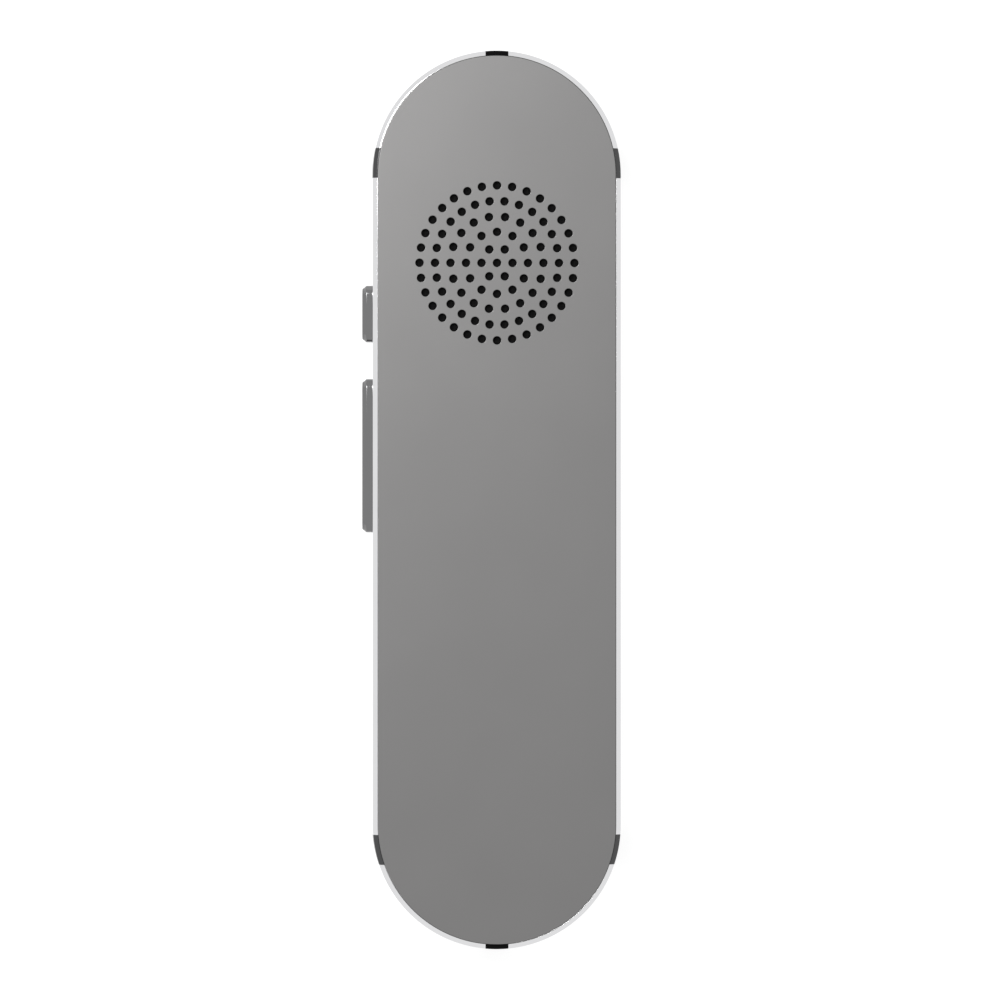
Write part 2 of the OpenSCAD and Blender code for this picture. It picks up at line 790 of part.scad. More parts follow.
// Processor, memory and power chip, under the board.
processor_w = 9;
memory_w = 7;
power_chip_w = 4.4;
chip_h = 0.9;
chip_gap = 1.2;
module processor_chips() {
    x = (processor_can_x0 + processor_can_x1) / 2;
    y = (processor_can_y0 + processor_can_y1) / 2;
    color("black") {
        chip(x, y, processor_w, main_board_z0, -chip_h);
        chip(x, y + (processor_w + memory_w) / 2 + chip_gap, memory_w, main_board_z0, -chip_h);
        chip(x, y - (processor_w + power_chip_w) / 2 - chip_gap, power_chip_w,
            main_board_z0, -chip_h);
    }
}

// Radio and amplifier, on the board's upper side.
radio_w = radio_can_y1 - radio_can_y0 - 2 * chip_gap;
amplifier_w = radio_w - chip_gap;
module radio_chips() {
    y = (radio_can_y0 + radio_can_y1) / 2;
    color("black") {
        chip(-(radio_w + chip_gap) / 2, y, radio_w, main_board_z1, chip_h);
        chip((amplifier_w + chip_gap) / 2, y, amplifier_w, main_board_z1, chip_h);
    }
}

// ---- Antenna clips --------------------------------------------------------------

// Spring clips on the boards that reach through the chassis wall to the four arcs
// of the frame, which are the antennas. Each stands midway between its neighbours.
clip_w = 1.6;
clip_t = 0.15;
clip_h = 1.1;
clip_foot = 1.8;
clip_inset = 2;
clip_r0 = board_r - clip_inset;
clip_reach = inner_r - seam - clip_r0;
break_reach = half_break + break_flange_w;
top_clip_angle = (asin((end_break_w / 2 + break_flange_w) / inner_r)
    + acos((upper_break_y + break_reach - end_y) / inner_r)) / 2;
bottom_clip_angle = (mic_angle + asin((boot_w / 2 + fit) / cavity_r)
    + acos((-end_y - lower_break_y + break_reach) / inner_r)) / 2;

// Places its children at the four clips: +X outwards, +Z up from the board.
module at_clips() {
    for (side = [-1, 1]) {
        translate([0, end_y, main_board_z1])
            rotate([0, 0, 90 + side * top_clip_angle]) children();
        translate([0, -end_y, socket_board_z1])
            rotate([0, 0, -90 + side * bottom_clip_angle]) children();
    }
}

module antenna_clips() {
    tip = 0.5;
    color("gold") at_clips() translate([clip_r0, clip_w / 2, 0]) rotate([90, 0, 0])
        linear_extrude(clip_w) polygon([
            [0, 0], [clip_foot, 0], [clip_foot, clip_t], [clip_t, clip_t],
            [clip_t, clip_h - clip_t], [clip_reach - tip, clip_h - clip_t],
            [clip_reach - clip_t, clip_h - tip], [clip_reach, clip_h - tip],
            [clip_reach, clip_h - tip + clip_t], [clip_reach - tip + clip_t, clip_h], [0, clip_h]
        ]);
}

module clip_slots() {
    at_clips() block(cavity_r - 1, outer_r, -clip_w / 2 - 2 * fit, clip_w / 2 + 2 * fit,
        -fit, clip_h + 2 * fit);
}

// ---- Socket board, strip and battery ----------------------------------------------

socket_board_gap = 2;
module socket_board() {
    color("darkgreen") difference() {
        intersection() {
            slab(board_r, web_z1, socket_board_z1);
            reach(-over, over, bottom_y, socket_board_y1);
        }
        board_holes(socket_screws, web_z1, socket_board_t);
        reach(-over, over, bottom_y - 1, bottom_y + frame_wall + chassis_wall + socket_board_gap);
    }
}

// The strip that joins the two boards stands on edge beside the battery.
strip_edge = 1.5;
strip_reach = 4.4;
module board_flex() {
    y0 = socket_board_y1 - strip_edge - connector_w;
    y1 = main_board_y0 + connector_w;
    x0 = strip_x - strip_reach;
    x1 = strip_x + strip_t;
    low_z = socket_board_z1 + connector_h;
    high_z = main_board_z1 + connector_h;
    color("chocolate") {
        block(strip_x, x1, y0, y1, low_z, high_z + strip_t);
        block(x0, x1, y0, y0 + connector_w, low_z, low_z + strip_t);
        block(x0, x0 + connector_w, y0, y0 + connector_w, socket_board_z1, low_z + strip_t);
        block(x0, x1, y1 - connector_w, y1, high_z, high_z + strip_t);
        block(x0, x0 + connector_w, y1 - connector_w, y1, main_board_z1, high_z + strip_t);
    }
}

battery_x1 = strip_x - battery_gap;
battery_z0 = web_z1 + tape_t;
battery_end = 1.2;
battery_seam = 0.9;

// Pouch cell: rounded body, with a thinner sealed end that carries the lead.
module battery() {
    r = battery_edge_r;
    color("darkgray") {
        round_block(battery_x0, battery_x1, battery_y0, battery_y1 - battery_end,
            battery_z0, battery_z0 + battery_t, r);
        block(battery_x0 + r, battery_x1 - r, battery_y1 - 2 * battery_end, battery_y1,
            battery_z0 + battery_seam, battery_z0 + battery_t - battery_seam);
    }
}

battery_tape_inset = 3;
module battery_tape() {
    color("lightgray") block(
        battery_x0 + battery_tape_inset, battery_x1 - battery_tape_inset,
        battery_y0 + battery_tape_inset, battery_y1 - battery_end - battery_tape_inset,
        web_z1, battery_z0);
}

// The lead comes out of the sealed end, climbs the rib and plugs into the board.
lead_plug_l = 2.6;
module battery_lead() {
    y1 = main_board_y0 + connector_w;
    z1 = main_board_z1 + connector_h;
    color("chocolate") {
        block(lead_x0, lead_x1, battery_y1, y1, z1, z1 + strip_t);
        block(lead_x0, lead_x1, battery_y1, battery_y1 + strip_t,
            battery_z0 + battery_t / 2, z1);
        block(lead_x0, lead_x1, y1 - lead_plug_l, y1, main_board_z1, z1);
    }
}

module at_usb() {
    translate([0, bottom_y + usb_recess + usb_l, port_z]) rotate([90, 0, 0]) children();
}

module usb_shell() {
    color("silver") at_usb() difference() {
        pill(usb_w, usb_h, usb_l);
        translate([0, 0, -1])
            pill(usb_w - 2 * usb_shell_t, usb_h - 2 * usb_shell_t, usb_l + 2);
    }
}

// Insulator: a block that closes the shell's back and the contact tongue.
usb_block_l = 1;
usb_tongue_w = 6.7;
usb_tongue_t = 0.7;
usb_tongue_setback = 0.7;
module usb_tongue() {
    inside = 2 * usb_shell_t + 2 * seam;
    color("black") at_usb() {
        pill(usb_w - inside, usb_h - inside, usb_block_l);
        block(-usb_tongue_w / 2, usb_tongue_w / 2, -usb_tongue_t / 2, usb_tongue_t / 2,
            usb_block_l / 2, usb_l - usb_tongue_setback);
    }
}

module microphone(side) {
    color("gold") at_mic(side)
        block(mic_r, mic_r + mic_l, -mic_w / 2, mic_w / 2,
            socket_board_z1, socket_board_z1 + mic_h);
}

// Rubber boot that leads the sound from the frame's hole to the microphone.
module mic_boot(side) {
    color("dimgray") difference() {
        intersection() {
            at_mic(side) block(mic_r + mic_l, outer_r, -boot_w / 2, boot_w / 2,
                socket_board_z1, socket_board_z1 + boot_h);
            slab(inner_r - fit, 0, body_t);
        }
        mic_bore(side);
    }
}

module microphone_left() { microphone(-1); }
module microphone_right() { microphone(1); }
module mic_boot_left() { mic_boot(-1); }
module mic_boot_right() { mic_boot(1); }

// ---- Side keys ------------------------------------------------------------------

// A key's outer part and the flange that keeps it behind the frame.
module side_key(l, flange_d) {
    side_bar(l, side_key_h, -side_key_proud, flange_d + flange_t, side_key_round);
    side_bar(l + 2 * flange_lap, side_key_h + 2 * flange_lap, flange_d, flange_d + flange_t);
}

nub_w = 1.4;
module key_nub(flange_d, y) {
    side_block(flange_d, nub_d, y - nub_w / 2, y + nub_w / 2, mid_z - nub_w / 2, mid_z + nub_w / 2);
}

module power_key() {
    color("silver") translate([0, power_y, 0]) {
        side_key(power_key_l, power_flange_d);
        key_nub(power_flange_d, 0);
    }
}

lug_wall = 0.35;
lug_r = rocker_pin_d / 2 + lug_wall;
lug_h = side_key_h - 2 * fit;
ear_t = 0.5;
ear_gap = 2 * fit;

// The rocker's lug reaches back to the pin; its nubs stand over two switches.
module volume_key() {
    color("silver") translate([0, volume_y, 0]) difference() {
        union() {
            side_key(volume_key_l, rocker_flange_d);
            for (y = [-rocker_switch_y, rocker_switch_y]) key_nub(rocker_flange_d, y);
            side_block(rocker_flange_d, pivot_d, -lug_r, lug_r, mid_z - lug_h / 2, mid_z + lug_h / 2);
            at_pivot() cylinder(r = lug_r, h = lug_h, center = true);
        }
        at_pivot() cylinder(r = rocker_pin_d / 2 + pin_play, h = lug_h + 2, center = true);
    }
}

module at_pivot() { translate([-outer_r + pivot_d, 0, mid_z]) children(); }

pin_l = lug_h + 2 * ear_gap + 2 * ear_t;
module rocker_pin() {
    color("lightgray") translate([0, volume_y, 0]) at_pivot()
        cylinder(d = rocker_pin_d, h = pin_l, center = true);
}

switch_l = 3.2;
switch_h = 2.4;
plunger_l = 1.4;
plunger_h = 1;
bracket_end = 1;
bracket_y0 = volume_y - rocker_switch_y - switch_l / 2 - bracket_end;
bracket_y1 = power_y + switch_l / 2 + bracket_end;
bracket_z1 = key_bay_z1 - 4 * fit;
bracket_foot = 0.9;
bracket_foot_t = 0.1;
ear_w = 2.8;

// Bent sheet bracket: wall behind the switches, foot on the web, two ears.
module side_key_bracket() {
    color("lightgray") difference() {
        union() {
            side_block(bracket_d, bracket_d + bracket_t, bracket_y0, bracket_y1,
                web_z1, bracket_z1);
            side_block(bracket_d - bracket_foot, bracket_d + bracket_t, bracket_y0, bracket_y1,
                web_z1, web_z1 + bracket_foot_t);
            for (z = [-lug_h / 2 - ear_gap - ear_t, lug_h / 2 + ear_gap])
                side_block(rocker_back_d + 2 * fit, bracket_d + bracket_t / 2,
                    volume_y - ear_w / 2, volume_y + ear_w / 2, mid_z + z, mid_z + z + ear_t);
        }
        translate([0, volume_y, 0]) at_pivot()
            cylinder(r = rocker_pin_d / 2 + pin_play, h = pin_l + 2, center = true);
    }
}

module side_key_flex() {
    y_inset = bracket_end / 2;
    color("chocolate")
        side_block(key_flex_d, bracket_d, bracket_y0 + y_inset, bracket_y1 - y_inset,
            mid_z - switch_h / 2, mid_z + switch_h / 2);
}

// A tact switch: body on the flex, plunger towards the key.
module tact_switch(y) {
    color("black") {
        side_block(switch_d + switch_plunger, key_flex_d,
            y - switch_l / 2, y + switch_l / 2, mid_z - switch_h / 2, mid_z + switch_h / 2);
        side_block(switch_d, switch_d + switch_plunger + fit,
            y - plunger_l / 2, y + plunger_l / 2, mid_z - plunger_h / 2, mid_z + plunger_h / 2);
    }
}

module power_switch() { tact_switch(power_y); }
module volume_up_switch() { tact_switch(volume_y + rocker_switch_y); }
module volume_down_switch() { tact_switch(volume_y - rocker_switch_y); }

// ---- Talk key -------------------------------------------------------------------

talk_flange_z = glass_t + 2 * fit;
talk_flange_t = 0.5;
talk_dome_h = 0.55;
talk_dome_z = web_z1 - talk_dome_h;
talk_plunger_r = 1.5;
talk_edge = 0.2;
talk_rim = 0.8;
dish_r = talk_key_d / 2 - talk_rim;
dish_steps = 8;
dish_points = [
    for (i = [0 : dish_steps])
        let (share = i / dish_steps)
        [dish_r * share, talk_key_recess + talk_dish * (1 - share * share)]
];

// Dished round cap, flange under the glass, plunger towards the dome switch.
module talk_key() {
    r = talk_key_d / 2;
    plunger_z = talk_dome_z - talk_travel - stop_gap;
    color("silver") translate([0, talk_y, 0]) rotate_extrude() polygon(concat(
        dish_points,
        [[r - talk_edge, talk_key_recess], [r, talk_key_recess + talk_edge],
         [r, talk_flange_z], [talk_flange_r, talk_flange_z],
         [talk_flange_r, talk_flange_z + talk_flange_t],
         [talk_plunger_r, talk_flange_z + talk_flange_t],
         [talk_plunger_r, plunger_z], [0, plunger_z]]
    ));
}

// Snap dome on its round carrier, under the socket board.
dome_h = 0.25;
dome_r = 2.5;
dome_top_r = 1.6;
dome_carrier_r = 3;
module talk_switch() {
    color("gold") translate([0, talk_y, talk_dome_z]) {
        cylinder(r1 = dome_top_r, r2 = dome_r, h = dome_h);
        translate([0, 0, dome_h]) cylinder(r = dome_carrier_r, h = talk_dome_h - dome_h);
    }
}

// Silicone ring on the web that pushes the talk key back.
talk_pad_inset = 0.6;
talk_pad_ledge = 1.1;
module talk_key_pad() {
    z0 = talk_flange_z + talk_flange_t + talk_travel + stop_gap;
    color("dimgray") translate([0, talk_y, z0]) difference() {
        cylinder(r = talk_key_d / 2 - talk_pad_inset, h = web_z0 - z0);
        translate([0, 0, -1]) cylinder(r = talk_window_r + talk_pad_ledge, h = web_z0);
    }
}

// ---- Screws ---------------------------------------------------------------------

// Screws at the given places, with their heads on a board's upper face at z.
module screw_set(places, z) {
    for (at = places) translate([at[0], at[1], z]) {
        cylinder(d = screw_head_d, h = screw_head_h);
        translate([0, 0, -screw_l]) cylinder(d = screw_d, h = screw_l);
    }
}

// The blind holes that those screws turn in.
module screw_holes(places, z) {
    for (at = places) translate([at[0], at[1], z - screw_l - screw_tip_gap])
        cylinder(r = screw_d / 2 + pin_play, h = screw_l + screw_tip_gap);
}

module screws() {
    color("lightgray") {
        screw_set(main_screws, main_board_z1);
        screw_set(socket_screws, socket_board_z1);
    }
}

frame_side_left();
frame_side_right();
frame_arc_top_left();
frame_arc_top_right();
frame_arc_bottom_left();
frame_arc_bottom_right();
break_top();
break_bottom();
break_upper_left();
break_upper_right();
break_lower_left();
break_lower_right();
back_plate();
plate_tape();
front_glass();
glass_tape();
chassis();
display_panel();
display_flex();
grille_mesh();
speaker_gasket();
speaker_holder();
speaker_basket();
speaker_magnet();
speaker_cone();
speaker_coil();
main_board();
processor_chips();
shield_processor();
radio_chips();
shield_radio();
antenna_clips();
socket_board();
board_flex();
battery();
battery_tape();
battery_lead();
usb_shell();
usb_tongue();
microphone_left();
microphone_right();
mic_boot_left();
mic_boot_right();
power_key();
volume_key();
rocker_pin();
side_key_bracket();
side_key_flex();
power_switch();
volume_up_switch();
volume_down_switch();
talk_key();
talk_switch();
talk_key_pad();
screws();
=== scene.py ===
"""Looks of the handheld translator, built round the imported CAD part.

The frame, its antenna breaks, the back plate, the glass and the keys are
modelled again here with their soft edges, at the CAD's own sizes and places.
Everything is in metres. The part lies on its glass, back plate up.
"""
import json
import math
from collections import namedtuple

import bmesh
import bpy
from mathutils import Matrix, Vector


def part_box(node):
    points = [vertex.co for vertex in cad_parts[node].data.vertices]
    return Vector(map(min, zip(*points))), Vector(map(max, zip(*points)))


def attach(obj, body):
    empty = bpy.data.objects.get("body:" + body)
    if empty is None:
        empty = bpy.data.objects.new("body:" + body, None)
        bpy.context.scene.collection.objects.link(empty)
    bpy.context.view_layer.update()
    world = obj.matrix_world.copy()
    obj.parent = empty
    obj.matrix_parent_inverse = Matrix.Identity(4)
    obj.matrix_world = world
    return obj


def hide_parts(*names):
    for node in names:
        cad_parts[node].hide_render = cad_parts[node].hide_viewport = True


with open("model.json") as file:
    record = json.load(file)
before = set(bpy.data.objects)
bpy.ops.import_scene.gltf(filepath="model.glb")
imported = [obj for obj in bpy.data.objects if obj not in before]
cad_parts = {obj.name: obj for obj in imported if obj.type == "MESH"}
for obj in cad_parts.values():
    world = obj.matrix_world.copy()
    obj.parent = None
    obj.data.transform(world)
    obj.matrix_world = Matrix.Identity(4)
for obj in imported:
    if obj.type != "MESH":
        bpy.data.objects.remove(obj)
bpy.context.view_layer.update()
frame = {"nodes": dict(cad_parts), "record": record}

MM = 0.001
BODY_HOUSING = "housing"

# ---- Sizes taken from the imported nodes, or repeated from the CAD source -------

plate_low, plate_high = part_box("back_plate")
glass_low, glass_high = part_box("front_glass")
side_low, side_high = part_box("frame_side_right")
top_arc_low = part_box("frame_arc_top_right")[0]
bottom_arc_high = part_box("frame_arc_bottom_right")[1]

FACE_R = plate_high.x
END_Y = plate_high.y - FACE_R
OUTER_R = side_high.x
WALL = 1.8 * MM
SEAM = 0.03 * MM
TAPE = 0.15 * MM
INNER_R = OUTER_R - WALL
RECESS_R = FACE_R + SEAM
TOP_Z = plate_high.z
MID_Z = TOP_Z / 2
GLASS_LEDGE_Z = glass_high.z + TAPE
PLATE_LEDGE_Z = plate_low.z - TAPE
FRAME_Z0 = side_low.z
BREAK_X = top_arc_low.x
UPPER_CUT = (side_high.y, top_arc_low.y)
LOWER_CUT = (bottom_arc_high.y, side_low.y)

TURN_STEP = math.radians(2.5)
CREASE_DEG = 28
ROUND_POINTS = 144
MIN_CORNER_SHARE = 0.3
OVERRUN = 1 * MM


# ---- Meshes ---------------------------------------------------------------------

def blend_value(a, b, share):
    return a + (b - a) * share


def loft(rings, shut=False):
    """A skin over closed rings with the same number of points. Its two ends
    are capped, unless it runs back to its first ring."""
    count = len(rings[0])
    verts = [p for ring in rings for p in ring]
    faces = []
    for i in range(len(rings) if shut else len(rings) - 1):
        a, b = i * count, (i + 1) % len(rings) * count
        for j in range(count):
            k = (j + 1) % count
            faces.append((a + j, a + k, b + k, b + j))
    if not shut:
        faces.append(tuple(reversed(range(count))))
        faces.append(tuple(range(len(verts) - count, len(verts))))
    return verts, faces


def joined(*parts):
    """One list of verts and faces from several."""
    verts, faces = [], []
    for part_verts, part_faces in parts:
        start = len(verts)
        verts += part_verts
        faces += [tuple(start + i for i in face) for face in part_faces]
    return verts, faces


def mirrored(part):
    """A part on the other side of the middle plane."""
    return [(-x, y, z) for x, y, z in part[0]], part[1]


def mesh_object(name, part, sharp_deg=CREASE_DEG):
    """A smooth shaded object whose edges steeper than sharp_deg stay crisp."""
    mesh = bpy.data.meshes.new(name)
    mesh.from_pydata(part[0], [], part[1])
    bm = bmesh.new()
    bm.from_mesh(mesh)
    bmesh.ops.recalc_face_normals(bm, faces=bm.faces)
    bm.to_mesh(mesh)
    bm.free()
    obj = bpy.data.objects.new(name, mesh)
    bpy.context.scene.collection.objects.link(obj)
    smooth(obj, sharp_deg)
    return obj


def smooth(obj, sharp_deg):
    obj.data.polygons.foreach_set("use_smooth", [True] * len(obj.data.polygons))
    obj.data.set_sharp_from_angle(angle=math.radians(sharp_deg))


def combine(obj, operation, *parts):
    """Takes closed parts out of obj, or joins them onto it as one solid."""
    tools = [mesh_object(f"{obj.name}_tool_{i}", part) for i, part in enumerate(parts)]
    for tool in tools:
        modifier = obj.modifiers.new("combine", "BOOLEAN")
        modifier.operation = operation
        modifier.solver = "EXACT"
        modifier.object = tool
    settle(obj)
    for tool in tools:
        bpy.data.objects.remove(tool)


def cut(obj, *parts):
    combine(obj, "DIFFERENCE", *parts)


def merge(obj, part):
    combine(obj, "UNION", part)


def settle(obj, sharp_deg=CREASE_DEG):
    """Applies every modifier of obj."""
    bpy.context.view_layer.update()
    graph = bpy.context.evaluated_depsgraph_get()
    mesh = bpy.data.meshes.new_from_object(obj.evaluated_get(graph))
    obj.modifiers.clear()
    obj.data = mesh
    smooth(obj, sharp_deg)


def pill_loop(half_run, r, step=TURN_STEP * 2, runs=1, turns=None):
    """Points (along, across) of a round-ended slot's outline. Each straight
    side is split into runs. turns gives the ends' own angles."""
    count = math.ceil(math.pi / step)
    turns = turns or [math.pi * (i / count - 0.5) for i in range(count + 1)]
    points = []
    for end in (1, -1):
        for a in turns:
            points.append((end * (half_run + r * math.cos(a)), end * r * math.sin(a)))
        for i in range(1, runs):
            points.append((end * half_run * (1 - 2 * i / runs), end * r))
    return points


def circle_loop(r, count):
    return [(r * math.cos(2 * math.pi * i / count), r * math.sin(2 * math.pi * i / count))
            for i in range(count)]


def plan_loop(r, z):
    """The housing's outline at radius r."""
    return [(x, y, z) for y, x in pill_loop(END_Y, r, TURN_STEP)]


def arc_steps(first, last, r, count):
    """Points of an arc as offsets (cos, sin) * r, from one angle to another."""
    angles = [math.radians(blend_value(first, last, i / count)) for i in range(count + 1)]
    return [(r * math.cos(a), r * math.sin(a)) for a in angles]


def box_part(low, high, bevel):
    """A block with all its edges cut back by bevel."""
    def ring(z, inset):
        x0, x1 = low[0] + inset, high[0] - inset
        y0, y1 = low[1] + inset, high[1] - inset
        b = bevel
        return [(x0 + b, y0, z), (x1 - b, y0, z), (x1, y0 + b, z), (x1, y1 - b, z),
                (x1 - b, y1, z), (x0 + b, y1, z), (x0, y1 - b, z), (x0, y0 + b, z)]
    return loft([ring(low[2], bevel), ring(low[2] + bevel, 0),
                 ring(high[2] - bevel, 0), ring(high[2], bevel)])


# ---- The housing's outline, and what is swept along it ---------------------------

class Cut(namedtuple("Cut", "axis at end", defaults=(0,))):
    """A plane that ends a piece of the frame: y = at, or x = at near one end.
    Pieces run up the right side, so along +Y there, and over the ends."""

    def shifted(self, step):
        return self._replace(at=self.at + step * (1 if self.axis == "y" else -self.end))

    def spot(self, r):
        """Turn about the nearest arc centre, and that centre's y, at radius r."""
        if self.axis == "y":
            centre = max(-END_Y, min(END_Y, self.at))
            return math.asin((self.at - centre) / r), centre
        return self.end * math.acos(self.at / r), self.end * END_Y


def on_plan(r, z, turn, centre):
    return r * math.cos(turn), centre + r * math.sin(turn), z


def marks(start, stop, r):
    """Where the outline at radius r starts, changes between arc and straight,
    and stops."""
    (turn0, centre0), (turn1, centre1) = start.spot(r), stop.spot(r)
    if centre0 == centre1:
        return [(turn0, centre0), (turn1, centre1)]
    found = [(turn0, centre0)]
    if turn0:
        found.append((0, centre0))
    found.append((0, centre1))
    if turn1:
        found.append((turn1, centre1))
    return found


def inset(profile, depth):
    """A closed profile moved inwards by depth along its corners' bisectors."""
    count = len(profile)
    area = sum(profile[i - 1][0] * profile[i][1] - profile[i][0] * profile[i - 1][1]
               for i in range(count))
    side = 1 if area > 0 else -1
    result = []
    for i, (r, z) in enumerate(profile):
        before = Vector((r, z)) - Vector(profile[i - 1])
        after = Vector(profile[(i + 1) % count]) - Vector((r, z))
        normals = [Vector((-d.y, d.x)).normalized() * side for d in (before, after)]
        bisector = (normals[0] + normals[1]).normalized()
        reach = depth / max(MIN_CORNER_SHARE, bisector.dot(normals[0]))
        result.append((r + bisector.x * reach, z + bisector.y * reach))
    return result


def sweep(profile, start, stop, bevel=0.0):
    """A profile (r, z) taken along the housing's outline between two cuts, with
    its ends bevelled."""
    def ring_at(section, where):
        return [on_plan(r, z, *where.spot(r)) for r, z in section]

    first, last = start.shifted(bevel), stop.shifted(-bevel)
    reference = marks(first, last, OUTER_R)
    shares = [(0, 0.0)]
    for leg, ((a, _), (b, _)) in enumerate(zip(reference, reference[1:])):
        count = max(1, math.ceil(abs(b - a) / TURN_STEP))
        shares += [(leg, (i + 1) / count) for i in range(count)]
    tracks = {r: marks(first, last, r) for r, _ in profile}
    rings = []
    for leg, share in shares:
        ring = []
        for r, z in profile:
            (a, c), (b, d) = tracks[r][leg:leg + 2]
            ring.append(on_plan(r, z, blend_value(a, b, share), blend_value(c, d, share)))
        rings.append(ring)
    if bevel:
        ends = inset(profile, bevel)
        rings = [ring_at(ends, start)] + rings + [ring_at(ends, stop)]
    return loft(rings)


# ---- Frame and antenna breaks -------------------------------------------------------

CROWN = 0.15 * MM
CROWN_STEPS = 8
EDGE_START_Z = TOP_Z - 0.65 * MM
# The frame's polished edge from the side inwards: tilt of its surface from
# level at the start and end of each stretch in degrees, its length in mm.
EDGE_LEGS = [(85, 40, 0.06), (40, 33, 0.608), (30, 16, 0.20), (16, -70, 0.07)]
LEG_STEPS = 5
JOINT_BEVEL = 0.035 * MM


def crown_r(z):
    return OUTER_R - CROWN * ((z - MID_Z) / (MID_Z - FRAME_Z0)) ** 4


def frame_profile():
    """The frame wall's closed outline (r, z)."""
    r, z = crown_r(EDGE_START_Z), EDGE_START_Z
    edge = []
    for first, last, length in EDGE_LEGS:
        for i in range(LEG_STEPS):
            tilt = math.radians(blend_value(first, last, (i + 0.5) / LEG_STEPS))
            r -= length * MM / LEG_STEPS * math.cos(tilt)
            z += length * MM / LEG_STEPS * math.sin(tilt)
            edge.append((r, z))
    side = []
    for i in range(CROWN_STEPS + 1):
        height = blend_value(TOP_Z - EDGE_START_Z, EDGE_START_Z, i / CROWN_STEPS)
        side.append((crown_r(height), height))
    lower_edge = [(edge_r, TOP_Z - edge_z) for edge_r, edge_z in reversed(edge)]
    return ([(INNER_R, GLASS_LEDGE_Z), (RECESS_R, GLASS_LEDGE_Z)] + lower_edge
            + side + edge + [(RECESS_R, PLATE_LEDGE_Z), (INNER_R, PLATE_LEDGE_Z)])


def rectangle(r0, r1, z0, z1):
    return [(r0, z0), (r1, z0), (r1, z1), (r0, z1)]


usb_low, usb_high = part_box("usb_shell")
PORT_Z = (usb_low.z + usb_high.z) / 2
USB_W = usb_high.x - usb_low.x
USB_H = usb_high.z - usb_low.z
USB_GAP = 0.15 * MM
MIC_TURN = math.radians(40)
MIC_R = 0.5 * MM
MIC_POINTS = 40
KEY_GAP = 0.2 * MM
SLOT_BEVEL = 0.06 * MM
FLANGE_T = 0.6 * MM
FLANGE_H = 6.2 * MM
FLANGE_W = 1.5 * MM
FLANGE_CORE_LAP = 0.3 * MM


def usb_cutter():
    loop = pill_loop((USB_W - USB_H) / 2, USB_H / 2 + USB_GAP)
    return loft([[(x, y, PORT_Z + z) for x, z in loop]
                 for y in (usb_low.y - 2 * OVERRUN, usb_high.y)])


def mic_cutter(side):
    """A microphone's hole with a small flare at its mouth."""
    out = Vector((side * math.sin(MIC_TURN), -math.cos(MIC_TURN), 0))
    across = Vector((-out.y, out.x, 0))
    centre = Vector((0, -END_Y, PORT_Z))
    steps = [(INNER_R - OVERRUN, MIC_R), (OUTER_R - SLOT_BEVEL, MIC_R),
             (OUTER_R + SLOT_BEVEL, MIC_R + 2 * SLOT_BEVEL),
             (OUTER_R + OVERRUN, MIC_R + 2 * SLOT_BEVEL)]
    return loft([[tuple(centre + out * d + across * a + Vector((0, 0, b)))
                  for a, b in circle_loop(r, MIC_POINTS)] for d, r in steps])


def key_slot_cutter(node):
    """A side key's slot through the frame, with a small flare at its mouth."""
    middle, half_run, r = KEY_PLACES[node]
    steps = [(-INNER_R + OVERRUN, r + KEY_GAP), (-OUTER_R + SLOT_BEVEL, r + KEY_GAP),
             (-OUTER_R - SLOT_BEVEL, r + KEY_GAP + 2 * SLOT_BEVEL),
             (-OUTER_R - OVERRUN, r + KEY_GAP + 2 * SLOT_BEVEL)]
    return loft([[(x, middle + y, MID_Z + z) for y, z in pill_loop(half_run, grown)]
                 for x, grown in steps])


# The node's flange reaches past the key on all sides by this much.
KEY_FLANGE_LAP = 0.6 * MM


def key_place(node):
    """Middle y, half of the straight run and end radius of a side key's face."""
    low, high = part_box(node)
    r = (high.z - low.z) / 2 - KEY_FLANGE_LAP
    half = (high.y - low.y) / 2 - KEY_FLANGE_LAP
    return (low.y + high.y) / 2, half - r, r


KEY_PLACES = {node: key_place(node) for node in ("power_key", "volume_key")}


def build_frame(finish):
    profile = frame_profile()
    low_end, high_end = Cut("x", BREAK_X, -1), Cut("x", BREAK_X, 1)
    pieces = {
        "frame_side": (Cut("y", LOWER_CUT[1]), Cut("y", UPPER_CUT[0])),
        "frame_arc_top": (Cut("y", UPPER_CUT[1]), high_end),
        "frame_arc_bottom": (low_end, Cut("y", LOWER_CUT[0])),
    }
    for stem, (start, stop) in pieces.items():
        right = sweep(profile, start, stop, JOINT_BEVEL)
        for side, part in (("right", right), ("left", mirrored(right))):
            node = f"{stem}_{side}"
            obj = mesh_object(f"{node}_polished", part)
            if stem == "frame_arc_bottom":
                cut(obj, usb_cutter(), mic_cutter(1 if side == "right" else -1))
            if node == "frame_side_left":
                cut(obj, *(key_slot_cutter(key) for key in KEY_PLACES))
            finish(obj, BODY_HOUSING, "frame_metal", node)


